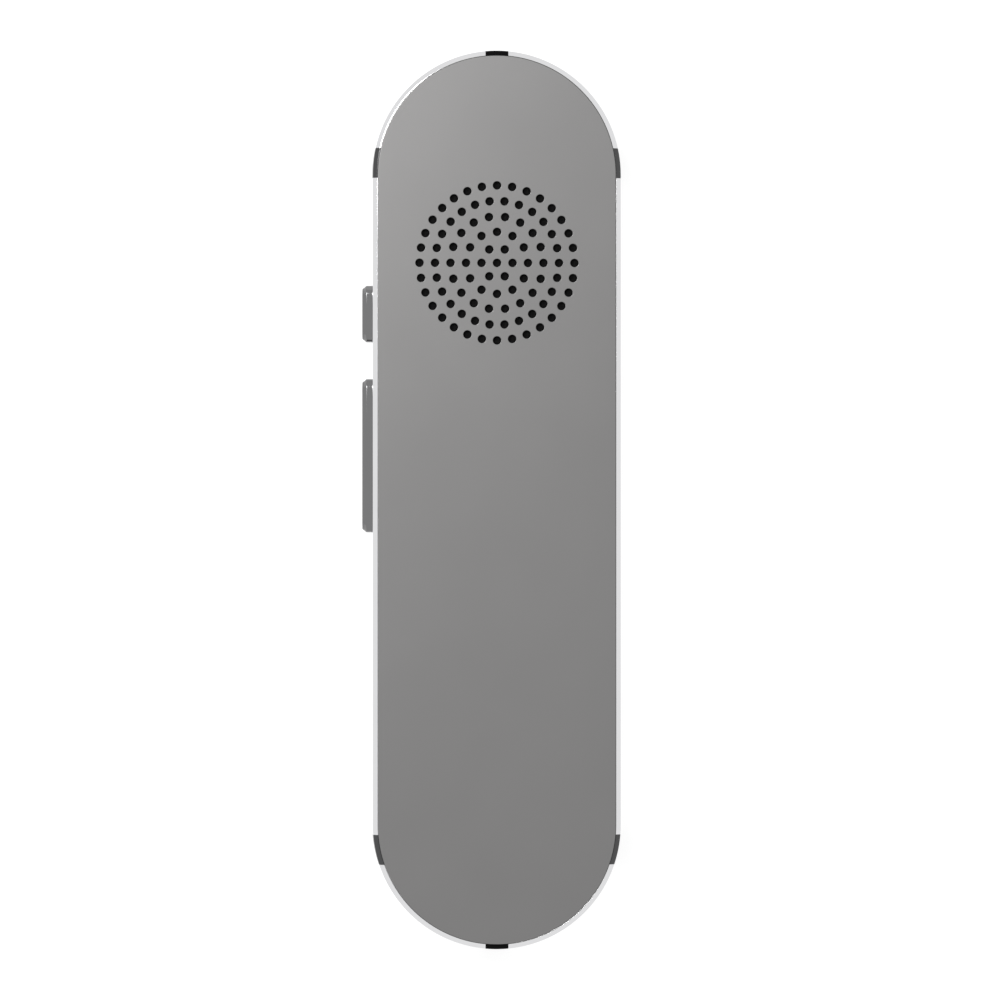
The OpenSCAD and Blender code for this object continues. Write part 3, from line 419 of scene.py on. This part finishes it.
def build_breaks(finish):
    """The plastic breaks: the frame's own section outside, a flange behind."""
    profile = frame_profile()
    z0, z1 = MID_Z - FLANGE_H / 2, MID_Z + FLANGE_H / 2
    core = rectangle(INNER_R - FLANGE_T, INNER_R + FLANGE_CORE_LAP, z0, z1)
    flange = rectangle(INNER_R - FLANGE_T, INNER_R - SEAM, z0, z1)
    usb_flange_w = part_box("break_bottom")[1].x - BREAK_X

    def break_part(start, stop, flange_w):
        # The three shells lap by a hair, so that the union is one clean solid.
        return (sweep(profile, start, stop, JOINT_BEVEL),
                sweep(core, start.shifted(SEAM), stop.shifted(-SEAM)),
                sweep(flange, start.shifted(-flange_w), stop.shifted(flange_w)))

    places = {
        "break_top": (Cut("x", BREAK_X, 1), Cut("x", -BREAK_X, 1), FLANGE_W),
        "break_bottom": (Cut("x", -BREAK_X, -1), Cut("x", BREAK_X, -1), usb_flange_w),
        "break_upper": (Cut("y", UPPER_CUT[0]), Cut("y", UPPER_CUT[1]), FLANGE_W),
        "break_lower": (Cut("y", LOWER_CUT[0]), Cut("y", LOWER_CUT[1]), FLANGE_W),
    }
    for stem, place in places.items():
        sides = ("",) if stem in ("break_top", "break_bottom") else ("_right", "_left")
        for side in sides:
            shells = break_part(*place)
            if side == "_left":
                shells = [mirrored(shell) for shell in shells]
            obj = mesh_object(f"{stem}{side}_insert", shells[0])
            for shell in shells[1:]:
                merge(obj, shell)
            if stem == "break_bottom":
                cut(obj, usb_cutter())
            finish(obj, BODY_HOUSING, "break_plastic", stem + side)
            # Painted shade: the two end breaks take the blacker, matt copy of the break plastic.
            if place[0].axis == "x":
                obj.data.materials[0] = bpy.data.materials[SHADED_END_BREAK + FINISH]


# ---- Back plate and front glass -----------------------------------------------------

grille_low, grille_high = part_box("grille_mesh")
GRILLE_Y = (grille_low.y + grille_high.y) / 2
RING_HOLES = [1, 6, 12, 18, 26, 32]
RING_PITCH = 2.41 * MM
HOLE_R = 0.65 * MM
HOLE_BEVEL = 0.05 * MM
HOLE_POINTS = 36
RIM_BEVEL = 0.08 * MM
BEVEL_STEPS = 4
FLAT_NORMAL_Z = 0.9999


def rounded_rim(bevel, top, bottom, inwards):
    """Steps (offset, z) down the wall of a slab whose upper edge is rounded.
    The offset is towards the slab's middle, or away from it in a hole."""
    down = bevel if top < bottom else -bevel
    steps = [(bevel * (1 - math.sin(a)), top + down * (1 - math.cos(a)))
             for a in (math.pi / 2 * i / BEVEL_STEPS for i in range(BEVEL_STEPS + 1))]
    steps.append((0, bottom))
    return [(offset * inwards, z) for offset, z in steps]


def slab(name, outline, holes, rim, hole_rim):
    """A flat slab with holes and a rounded edge on its outer face. outline and
    each hole give the loop (x, y) at an offset; rim gives (offset, z) steps."""
    bm = bmesh.new()
    edges_at = {"first": [], "last": []}
    for loop_at, steps in [(outline, rim)] + [(hole, hole_rim) for hole in holes]:
        rings = [[bm.verts.new((x, y, z)) for x, y in loop_at(offset)]
                 for offset, z in steps]
        count = len(rings[0])
        for upper, lower in zip(rings, rings[1:]):
            for i in range(count):
                k = (i + 1) % count
                bm.faces.new((upper[i], upper[k], lower[k], lower[i]))
        for which, ring in (("first", rings[0]), ("last", rings[-1])):
            edges_at[which] += [bm.edges.get((ring[i], ring[(i + 1) % count]))
                                for i in range(count)]
    for edges in edges_at.values():
        bmesh.ops.triangle_fill(bm, use_beauty=True, edges=edges)
    bmesh.ops.recalc_face_normals(bm, faces=bm.faces)
    mesh = bpy.data.meshes.new(name)
    bm.to_mesh(mesh)
    bm.free()
    obj = bpy.data.objects.new(name, mesh)
    bpy.context.scene.collection.objects.link(obj)
    smooth(obj, CREASE_DEG)
    for face in mesh.polygons:
        face.use_smooth = abs(face.normal.z) < FLAT_NORMAL_Z
    return obj


def plan_at(offset):
    return [(x, y) for x, y, _ in plan_loop(FACE_R - offset, 0)]


def round_hole(x, y, r, count):
    return lambda offset: [(x + a, y + b) for a, b in circle_loop(r - offset, count)]


def build_back_plate(finish):
    holes = []
    for ring, count in enumerate(RING_HOLES):
        for i in range(count):
            turn = 2 * math.pi * i / count
            holes.append(round_hole(ring * RING_PITCH * math.cos(turn),
                                    GRILLE_Y + ring * RING_PITCH * math.sin(turn),
                                    HOLE_R, HOLE_POINTS))
    obj = slab("back_plate_blasted", plan_at, holes,
               rounded_rim(RIM_BEVEL, TOP_Z, plate_low.z, 1),
               rounded_rim(HOLE_BEVEL, TOP_Z, plate_low.z, -1))
    finish(obj, BODY_HOUSING, "plate_metal", "back_plate")


talk_low, talk_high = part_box("talk_key")
TALK_Y = (talk_low.y + talk_high.y) / 2
TALK_R = 9 * MM
TALK_RECESS = talk_low.z


def build_front_glass(finish):
    window = round_hole(0, TALK_Y, TALK_R + KEY_GAP, ROUND_POINTS)
    obj = slab("front_glass_cover", plan_at, [window],
               rounded_rim(RIM_BEVEL, glass_low.z, glass_high.z, 1),
               rounded_rim(HOLE_BEVEL * 2, glass_low.z, glass_high.z, -1))
    finish(obj, BODY_HOUSING, "cover_glass", "front_glass")


# ---- Keys -----------------------------------------------------------------------------

FACE_CROWN = 0.06 * MM
FACE_RING_SHARES = (0.15, 0.45, 0.75)
# A side key's cut border from its side wall out to its face: tilt of its
# surface from the wall at the start and end of each stretch in degrees, its
# length in mm. The wall meets a flat cut, a narrow land, a second cut and a lip.
BORDER_LEGS = [(0, 44.5, 0.14), (44.5, 44.5, 0.435), (24, 18, 0.125), (44.5, 44.5, 0.17),
               (60, 90, 0.10)]
KEY_CREASE_DEG = 15
# Slope of a side key's long walls along +Y in degrees: in its middle, and how
# much more of it at its upper end, so the walls are a little convex.
KEY_SLOPES = {"power_key": (-1.0, 2.8), "volume_key": (0.3, 1.6)}
KEY_RUNS = 16
# Turns of a side key's round ends in degrees. Each quarter has one flat facet.
END_STEP = 6.5
FACET = (32.5, 57.5)
END_TURNS = [math.radians(first + END_STEP * i)
             for first, steps in ((-90, 6), (-FACET[0], 11), (FACET[1], 6))
             for i in range(steps)]
KEY_FLANGE_T = 0.6 * MM
POWER_FLANGE_GAP = 0.1 * MM
ROCKER_FLANGE_GAP = 0.45 * MM
NUB_W = 1.4 * MM
NUB_LAP = 0.02 * MM
SMALL_BEVEL = 0.06 * MM
ROCKER_NUB_Y = 7 * MM
PIN_R = 0.42 * MM
LUG_WALL = 0.35 * MM
LUG_GAP = 0.05 * MM
PIVOT_GAP = 0.5 * MM
PIN_HALF = 0.4 * MM
PIN_POINTS = 32
LUG_STEPS = 18


def key_ring(node, u, x, convex=True):
    """A side key's round-ended outline at half height u and depth x."""
    middle, half_run, r = KEY_PLACES[node]
    slope, more = (math.radians(a) for a in KEY_SLOPES[node])
    half = half_run + r
    points = []
    for y, z in pill_loop(half_run, u, runs=KEY_RUNS, turns=END_TURNS):
        share = y / half
        drop = half * (slope * share + more * share * share / 2) if convex else 0
        points.append((x, middle + y, MID_Z + z * (1 - drop / u)))
    return points


def key_border(r):
    """Steps (u, depth) of a side key's border from its lip in to its wall, and
    how deep the border is."""
    depth, u = 0, r
    steps = [(u, depth)]
    for first, last, length in BORDER_LEGS:
        for i in range(LEG_STEPS):
            tilt = math.radians(blend_value(first, last, (i + 0.5) / LEG_STEPS))
            depth -= length * MM / LEG_STEPS * math.cos(tilt)
            u -= length * MM / LEG_STEPS * math.sin(tilt)
            steps.append((u, depth))
    return [(u, d - depth) for u, d in reversed(steps)]


def key_shell(node, flange_x):
    """A side key: crowned face, cut border, wall and flange."""
    r = KEY_PLACES[node][2]
    face_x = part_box(node)[0].x
    border = key_border(r)
    flat_u = border[0][0]
    rings = [key_ring(node, flat_u * share, face_x + FACE_CROWN * share * share)
             for share in FACE_RING_SHARES]
    rings += [key_ring(node, u, face_x + FACE_CROWN + depth) for u, depth in border]
    lap = KEY_FLANGE_LAP
    rings += [key_ring(node, r, flange_x),
              key_ring(node, r + lap - SMALL_BEVEL, flange_x, False),
              key_ring(node, r + lap, flange_x + SMALL_BEVEL, False),
              key_ring(node, r + lap, flange_x + KEY_FLANGE_T, False)]
    return loft(rings)


def key_nub(flange_x, nub_x, y):
    half = NUB_W / 2
    return box_part((flange_x + KEY_FLANGE_T - NUB_LAP, y - half, MID_Z - half),
                    (nub_x, y + half, MID_Z + half), SMALL_BEVEL)


def build_side_keys(finish):
    power_flange = -INNER_R + POWER_FLANGE_GAP
    nub_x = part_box("power_key")[1].x
    obj = mesh_object("power_key_polished", key_shell("power_key", power_flange))
    merge(obj, key_nub(power_flange, nub_x, KEY_PLACES["power_key"][0]))
    smooth(obj, KEY_CREASE_DEG)
    finish(obj, "power_key_body", "key_metal", "power_key")

    rocker_flange = -INNER_R + ROCKER_FLANGE_GAP
    middle = KEY_PLACES["volume_key"][0]
    obj = mesh_object("volume_key_polished", key_shell("volume_key", rocker_flange))
    for y in (-ROCKER_NUB_Y, ROCKER_NUB_Y):
        merge(obj, key_nub(rocker_flange, nub_x, middle + y))
    lug_r = PIN_HALF + LUG_WALL
    pivot_x = rocker_flange + KEY_FLANGE_T + PIN_HALF + PIVOT_GAP
    lug_half = KEY_PLACES["volume_key"][2] - LUG_GAP
    back_x = rocker_flange + KEY_FLANGE_T - NUB_LAP
    lug_plan = [(back_x, -lug_r), (pivot_x, -lug_r)]
    lug_plan += [(pivot_x + a, b) for a, b in arc_steps(-90, 90, lug_r, LUG_STEPS)[1:-1]]
    lug_plan += [(pivot_x, lug_r), (back_x, lug_r)]
    merge(obj, loft([[(x, middle + y, z) for x, y in lug_plan]
                     for z in (MID_Z - lug_half, MID_Z + lug_half)]))
    cut(obj, loft([[(pivot_x + a, middle + b, z) for a, b in circle_loop(PIN_R, PIN_POINTS)]
                   for z in (MID_Z - 2 * lug_half, MID_Z + 2 * lug_half)]))
    smooth(obj, KEY_CREASE_DEG)
    finish(obj, "volume_key_body", "key_metal", "volume_key")


TALK_DISH = 0.25 * MM
TALK_RIM = 0.8 * MM
TALK_FLANGE_R = 9.8 * MM
TALK_FLANGE_Z = 0.8 * MM
TALK_FLANGE_T = 0.5 * MM
TALK_PLUNGER_R = 1.5 * MM
TALK_EDGE = 0.2 * MM
TALK_EDGE_STEPS = 6
DISH_STEPS = 14
DISH_START = 0.2


def lathe(steps, y):
    """A solid of revolution about an upright axis at y, from steps (r, z)."""
    return loft([[(a, y + b, z) for a, b in circle_loop(r, ROUND_POINTS)]
                 for r, z in steps])


def build_talk_key(finish):
    """Dished cap with a rounded rim, flange under the glass, plunger."""
    dish_r = TALK_R - TALK_RIM
    steps = [(dish_r * s, TALK_RECESS + TALK_DISH * (1 - s * s))
             for s in ((i + DISH_START) / (DISH_STEPS + DISH_START)
                       for i in range(DISH_STEPS + 1))]
    steps += [(TALK_R - TALK_EDGE + a, TALK_RECESS + TALK_EDGE + b)
              for a, b in arc_steps(-90, 0, TALK_EDGE, TALK_EDGE_STEPS)]
    steps += [(TALK_R, TALK_FLANGE_Z), (TALK_FLANGE_R, TALK_FLANGE_Z),
              (TALK_FLANGE_R, TALK_FLANGE_Z + TALK_FLANGE_T),
              (TALK_PLUNGER_R, TALK_FLANGE_Z + TALK_FLANGE_T),
              (TALK_PLUNGER_R, talk_high.z)]
    obj = mesh_object("talk_key_dished", lathe(steps, TALK_Y))
    finish(obj, "talk_key_body", "talk_metal", "talk_key")


# ---- USB socket -------------------------------------------------------------------------

SHELL_T = 0.3 * MM
SHELL_CREASE_DEG = 40
LIP = 0.09 * MM
LIP_CORNER = 0.3
TONGUE_W = 6.7 * MM
TONGUE_T = 0.7 * MM
TONGUE_BEVEL = 0.12 * MM
TONGUE_SETBACK = 0.7 * MM
BLOCK_L = 1 * MM
CONTACTS = 12
CONTACT_PITCH = 0.5 * MM
CONTACT_W = 0.25 * MM
CONTACT_L = 3.4 * MM
CONTACT_PROUD = 0.012 * MM
CONTACT_SUNK = 0.05 * MM
CONTACT_SETBACK = 0.45 * MM
CONTACT_BEVEL = 0.01 * MM


def port_loop(w, h, y):
    return [(x, y, PORT_Z + z) for x, z in pill_loop((w - h) / 2, h / 2)]


def build_usb(finish):
    """Rolled shell with a rounded mouth, tongue and its row of contacts."""
    front, back = usb_low.y, usb_high.y
    corner = LIP * LIP_CORNER
    steps = [(0, back), (0, front + LIP), (corner, front + corner), (LIP, front),
             (SHELL_T - LIP, front), (SHELL_T - corner, front + corner),
             (SHELL_T, front + LIP), (SHELL_T, back)]
    shell = loft([port_loop(USB_W - 2 * t, USB_H - 2 * t, y) for t, y in steps], shut=True)
    finish(mesh_object("usb_shell_rolled", shell, SHELL_CREASE_DEG), BODY_HOUSING,
           "plated_steel", "usb_shell")

    inside = 2 * (SHELL_T + SEAM)
    block = loft([port_loop(USB_W - inside, USB_H - inside, y)
                  for y in (back, back - BLOCK_L)])
    tip = front + TONGUE_SETBACK
    tongue = box_part((-TONGUE_W / 2, tip, PORT_Z - TONGUE_T / 2),
                      (TONGUE_W / 2, back - BLOCK_L / 2, PORT_Z + TONGUE_T / 2), TONGUE_BEVEL)
    obj = mesh_object("usb_tongue_moulded", block)
    merge(obj, tongue)
    finish(obj, BODY_HOUSING, "inner_plastic", "usb_tongue")

    pads = []
    for side in (-1, 1):
        face = PORT_Z + side * TONGUE_T / 2
        z0, z1 = sorted((face - side * CONTACT_SUNK, face + side * CONTACT_PROUD))
        for i in range(CONTACTS):
            x = (i - (CONTACTS - 1) / 2) * CONTACT_PITCH
            pads.append(box_part((x - CONTACT_W / 2, tip + CONTACT_SETBACK, z0),
                                 (x + CONTACT_W / 2, tip + CONTACT_SETBACK + CONTACT_L, z1),
                                 CONTACT_BEVEL))
    finish(mesh_object("usb_contacts", joined(*pads)), BODY_HOUSING, "copper")


# ---- Materials ------------------------------------------------------------------------------

FINISH = "_finish"
NOISE_LOW, NOISE_HIGH = 0.3, 0.7
FINE_DETAIL = 2.0
SLOW_DETAIL = 3.0
# Painted shade: the breaks at the two ends get a matt copy of the break plastic, blacker than the
# glossy side ones, which stands in for how dark the ends look under the light.
SHADED_END_BREAK = "end_break_plastic"


def add_node(tree, kind, inputs=(), **settings):
    """A shader node with its settings and inputs. An input is a value or
    another node's output."""
    made = tree.nodes.new("ShaderNode" + kind)
    for key, value in settings.items():
        setattr(made, key, value)
    for key, value in dict(inputs).items():
        if isinstance(value, bpy.types.NodeSocket):
            tree.links.new(value, made.inputs[key])
        else:
            made.inputs[key].default_value = value
    return made


def noise(tree, size, detail, stretch=(1, 1, 1)):
    """Noise in the object's own coordinates with features of a size in metres."""
    place = add_node(tree, "TexCoord").outputs["Object"]
    scaled = add_node(tree, "Mapping", {"Vector": place, "Scale": stretch}).outputs[0]
    return add_node(tree, "TexNoise", {"Vector": scaled, "Scale": 1 / size,
                                       "Detail": detail}).outputs["Fac"]


def spread(tree, factor, low, high):
    """A factor from noise, brought to the range low to high."""
    return add_node(tree, "MapRange", {"Value": factor, "From Min": NOISE_LOW,
                                       "From Max": NOISE_HIGH, "To Min": low,
                                       "To Max": high}).outputs[0]


def shaded(tree, factor, colour, change):
    """A colour that the factor varies by a share up and down."""
    low, high = ([c * s for c in colour] + [1] for s in (1 - change, 1 + change))
    mix = add_node(tree, "Mix", data_type="RGBA")
    tree.links.new(factor, mix.inputs["Factor"])
    mix.inputs[6].default_value = low
    mix.inputs[7].default_value = high
    return mix.outputs[2]


def empty_material(slot):
    material = bpy.data.materials.new(f"{slot}{FINISH}")
    material.use_nodes = True
    material.node_tree.nodes.clear()
    return material, material.node_tree


def surface(slot, colour, roughness, metallic=0.0, grain=0.2, patch=6.0, mottle=0.05,
            rough_change=0.04, relief=0.004, stretch=(1, 1, 1), **constants):
    """A finish with fine grain in its relief and slow changes in its colour and
    gloss. grain, patch and relief are in mm."""
    material, tree = empty_material(slot)
    fine = noise(tree, grain * MM, FINE_DETAIL, stretch)
    slow = noise(tree, patch * MM, SLOW_DETAIL)
    both = add_node(tree, "Math", {0: fine, 1: slow}, operation="ADD").outputs[0]
    even = add_node(tree, "Math", {0: both, 1: 0.5}, operation="MULTIPLY").outputs[0]
    bump = add_node(tree, "Bump", {"Height": fine, "Strength": 1.0,
                                   "Distance": relief * MM}).outputs[0]
    shader = add_node(tree, "BsdfPrincipled", {
        "Base Color": shaded(tree, spread(tree, even, 0, 1), colour, mottle),
        "Roughness": spread(tree, slow, roughness - rough_change, roughness + rough_change),
        "Metallic": metallic, "Normal": bump, **constants})
    output = add_node(tree, "OutputMaterial")
    tree.links.new(shader.outputs[0], output.inputs[0])
    return material


def make_materials():
    """The finish of every slot. The side keys' colour stands in for the dark
    surroundings that polished keys would mirror: it isn't a real finish."""
    metal = {"metallic": 1.0}
    return {m.name.removesuffix(FINISH): m for m in (
        surface("frame_metal", (0.73, 0.73, 0.74), 0.10, **metal, grain=0.08, patch=9,
                mottle=0.012, rough_change=0.02, relief=0.0004),
        # Painted reflection: the side keys' colour is darkened to stand in for the dark
        # surroundings they would mirror.
        surface("key_metal", (0.19, 0.19, 0.192), 0.045, **metal, grain=0.1, patch=4,
                mottle=0.015, rough_change=0.01, relief=0.0002),
        surface("plate_metal", (0.183, 0.181, 0.180), 0.368, **metal, grain=0.11, patch=14,
                mottle=0.014, rough_change=0.006, relief=0.004),
        surface("talk_metal", (0.70, 0.70, 0.71), 0.16, **metal, grain=0.07, patch=3,
                mottle=0.02, relief=0.0006),
        surface("break_plastic", (0.010, 0.010, 0.011), 0.14, grain=0.12, patch=2,
                mottle=0.15, relief=0.0006, **{"Specular IOR Level": 0.8}),
        # Painted shade: the blacker, matt copy of the break plastic for the two end breaks.
        surface(SHADED_END_BREAK, (0.001, 0.001, 0.001), 0.5, grain=0.12, patch=2,
                mottle=0.15, relief=0.0006, **{"Specular IOR Level": 0.05}),
        surface("cover_glass", (0.006, 0.006, 0.008), 0.04, grain=3, patch=30, mottle=0.2,
                rough_change=0.015, relief=0.0, **{"Coat Weight": 0.6, "Coat Roughness": 0.02}),
        surface("tape", (0.02, 0.02, 0.02), 0.85, grain=0.15, patch=3, relief=0.02),
        surface("chassis_metal", (0.45, 0.46, 0.48), 0.42, **metal, grain=0.3, patch=8,
                mottle=0.06, relief=0.008),
        surface("display", (0.02, 0.02, 0.025), 0.12, grain=0.1, patch=20, relief=0.0004),
        surface("flex", (0.42, 0.20, 0.06), 0.35, grain=0.4, patch=3, mottle=0.12,
                relief=0.003),
        surface("foam", (0.035, 0.035, 0.037), 0.9, grain=0.12, patch=2, mottle=0.25,
                relief=0.03),
        surface("inner_plastic", (0.03, 0.03, 0.032), 0.45, grain=0.15, patch=2,
                mottle=0.12, relief=0.004),
        surface("plated_steel", (0.62, 0.62, 0.63), 0.24, **metal, grain=0.06, patch=3,
                mottle=0.04, relief=0.002, stretch=(1, 8, 1)),
        surface("cone", (0.05, 0.05, 0.055), 0.75, grain=0.25, patch=2, mottle=0.2,
                relief=0.015),
        surface("copper", (0.72, 0.47, 0.22), 0.25, **metal, grain=0.1, patch=1,
                mottle=0.06, relief=0.001),
        surface("board", (0.01, 0.08, 0.03), 0.3, grain=0.3, patch=2, mottle=0.2,
                relief=0.004),
        surface("chip", (0.02, 0.02, 0.022), 0.5, grain=0.08, patch=2, mottle=0.1,
                relief=0.004),
        surface("pouch", (0.30, 0.31, 0.32), 0.3, **metal, grain=0.8, patch=10, mottle=0.05,
                relief=0.02),
        weave("mesh"),
    )}


WEAVE_PITCH = 0.09 * MM
WAVES_PER_PITCH = 0.05
WEAVE_WAVER = 0.3
WEAVE_RELIEF = 0.03 * MM
MESH_BLACK = (0.002, 0.002, 0.002)
# Share by which painted shade darkens the weave's dips and lightens its tops.
PAINTED_DIP_SHADE = 0.6


def weave(slot):
    """A black dust mesh: two sets of threads that rise and fall over each other, with painted
    shade darkening the dips.
    """
    material, tree = empty_material(slot)
    place = add_node(tree, "TexCoord").outputs["Object"]
    threads = [add_node(tree, "TexWave", {"Vector": place, "Scale": WAVES_PER_PITCH / WEAVE_PITCH,
                                          "Distortion": WEAVE_WAVER}, bands_direction=axis,
                        ).outputs["Fac"] for axis in "XY"]
    height = add_node(tree, "Math", {0: threads[0], 1: threads[1]},
                      operation="MAXIMUM").outputs[0]
    bump = add_node(tree, "Bump", {"Height": height, "Strength": 1.0,
                                   "Distance": WEAVE_RELIEF}).outputs[0]
    shader = add_node(tree, "BsdfPrincipled", {
        # Painted shade: darker where the threads dip, lighter on their tops.
        "Base Color": shaded(tree, height, MESH_BLACK, PAINTED_DIP_SHADE),
        "Roughness": 0.7, "Specular IOR Level": 0.08, "Normal": bump})
    output = add_node(tree, "OutputMaterial")
    tree.links.new(shader.outputs[0], output.inputs[0])
    return material


# ---- Studio: world, lamp, floor, camera --------------------------------------------------------

# Strength of the plain soft light that the world gives to matt surfaces. The
# camera, metal and glass see it white.
WORLD_LIGHT = 0.80


def maths(tree, operation, *values):
    return add_node(tree, "Math", dict(enumerate(values)), operation=operation).outputs[0]


def seen_directly(tree):
    """1 for camera, glossy and transmission rays, so that metal and glass show
    the same white background as the camera sees."""
    path = add_node(tree, "LightPath").outputs
    glossy = maths(tree, "MAXIMUM", path["Is Glossy Ray"], path["Is Transmission Ray"])
    return maths(tree, "MAXIMUM", path["Is Camera Ray"], glossy)


def grey(value):
    return value, value, value, 1


def build_world():
    """White to the camera and in metal and glass, and a plain soft light to
    matt surfaces."""
    world = bpy.data.worlds.new("studio")
    bpy.context.scene.world = world
    world.use_nodes = True
    tree = world.node_tree
    tree.nodes.clear()
    tone = add_node(tree, "Mix", {"Factor": seen_directly(tree), 6: grey(WORLD_LIGHT),
                                  7: grey(1.0)}, data_type="RGBA").outputs[2]
    background = add_node(tree, "Background", {"Color": tone, "Strength": 1.0})
    output = add_node(tree, "OutputWorld")
    tree.links.new(background.outputs[0], output.inputs[0])


FLOOR_HALF = 0.4
FLOOR_GLOW = 0.82
FLOOR_TONE = 0.28
FLOOR_MATT = 0.8
FLOOR_DROP = 0.02 * MM


def build_floor():
    """A floor as white to the camera as in metal and glass. Most of its white is
    its own glow, so that the object's shadow hardly shows on it."""
    verts = [(x, y, 0) for x, y in ((-1, -1), (1, -1), (1, 1), (-1, 1))]
    mesh = bpy.data.meshes.new("floor")
    mesh.from_pydata([tuple(FLOOR_HALF * c for c in v) for v in verts], [], [(0, 1, 2, 3)])
    floor = bpy.data.objects.new("floor", mesh)
    floor.location.z = -FLOOR_DROP
    bpy.context.scene.collection.objects.link(floor)
    material, tree = empty_material("floor")
    direct = seen_directly(tree)
    glow = add_node(tree, "Emission", {"Color": grey(FLOOR_GLOW)}).outputs[0]
    pale = add_node(tree, "BsdfDiffuse", {"Color": grey(FLOOR_TONE)}).outputs[0]
    shown = add_node(tree, "AddShader", {0: glow, 1: pale}).outputs[0]
    plain = add_node(tree, "BsdfDiffuse", {"Color": grey(FLOOR_MATT)}).outputs[0]
    both = add_node(tree, "MixShader", {0: direct, 1: plain, 2: shown}).outputs[0]
    output = add_node(tree, "OutputMaterial")
    tree.links.new(both, output.inputs[0])
    mesh.materials.append(material)


LAMP_AT = Vector((-0.17, 0.17, 0.40))
LAMP_AIM = Vector((0, 0.03, 0))
LAMP_SIZE = (0.20, 0.18)
LAMP_WATTS = 1.5


def build_lamp():
    """A softbox up beyond the loudspeaker end, to the left."""
    lamp = bpy.data.lights.new("softbox", "AREA")
    lamp.shape = "RECTANGLE"
    lamp.size, lamp.size_y = LAMP_SIZE
    lamp.energy = LAMP_WATTS
    obj = bpy.data.objects.new("softbox", lamp)
    obj.location = LAMP_AT
    obj.rotation_euler = (LAMP_AIM - LAMP_AT).to_track_quat("-Z", "Y").to_euler()
    bpy.context.scene.collection.objects.link(obj)


# The photograph's frame is 1000 pixels square. The camera looks straight down,
# from a little to the left, so that slightly more of the left side shows.
IMAGE_PX = 1000
OUTLINE_PX = 898.5
PLATE_CENTRE_PX = (496.9, 499.9)
LEAN = math.radians(2.0)
LENS_MM = 200.0
SENSOR_MM = 36.0


def build_camera():
    edge_r = crown_r(EDGE_START_Z)
    pixel = 2 * (END_Y + edge_r) / OUTLINE_PX
    camera = bpy.data.cameras.new("camera")
    camera.lens = LENS_MM
    camera.sensor_width = SENSOR_MM
    obj = bpy.data.objects.new("camera", camera)
    distance = IMAGE_PX * pixel * LENS_MM / SENSOR_MM
    aim = Vector(((IMAGE_PX / 2 - PLATE_CENTRE_PX[0]) * pixel,
                  (PLATE_CENTRE_PX[1] - IMAGE_PX / 2) * pixel, EDGE_START_Z))
    obj.location = aim + distance * Vector((-math.sin(LEAN), 0, math.cos(LEAN)))
    obj.rotation_euler = (0, -LEAN, 0)
    bpy.context.scene.collection.objects.link(obj)
    bpy.context.scene.camera = obj


# ---- Assembly ---------------------------------------------------------------------------------

def main():
    materials = make_materials()

    def finish(obj, body, slot, *nodes):
        """Gives a piece its finish and body, and hides the nodes it stands for."""
        obj.data.materials.clear()
        obj.data.materials.append(materials[slot])
        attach(obj, body)
        if nodes:
            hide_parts(*nodes)

    for part in frame["record"]["subparts"]:
        obj = frame["nodes"][part["node"]]
        if not obj.material_slots:
            obj.data.materials.append(None)
        for material_slot in obj.material_slots:
            material_slot.material = materials[part["material_slot"]]

    build_frame(finish)
    build_breaks(finish)
    build_back_plate(finish)
    build_front_glass(finish)
    build_side_keys(finish)
    build_talk_key(finish)
    build_usb(finish)
    build_world()
    build_floor()
    build_lamp()
    build_camera()
    bpy.context.scene.view_settings.view_transform = "Standard"


main()
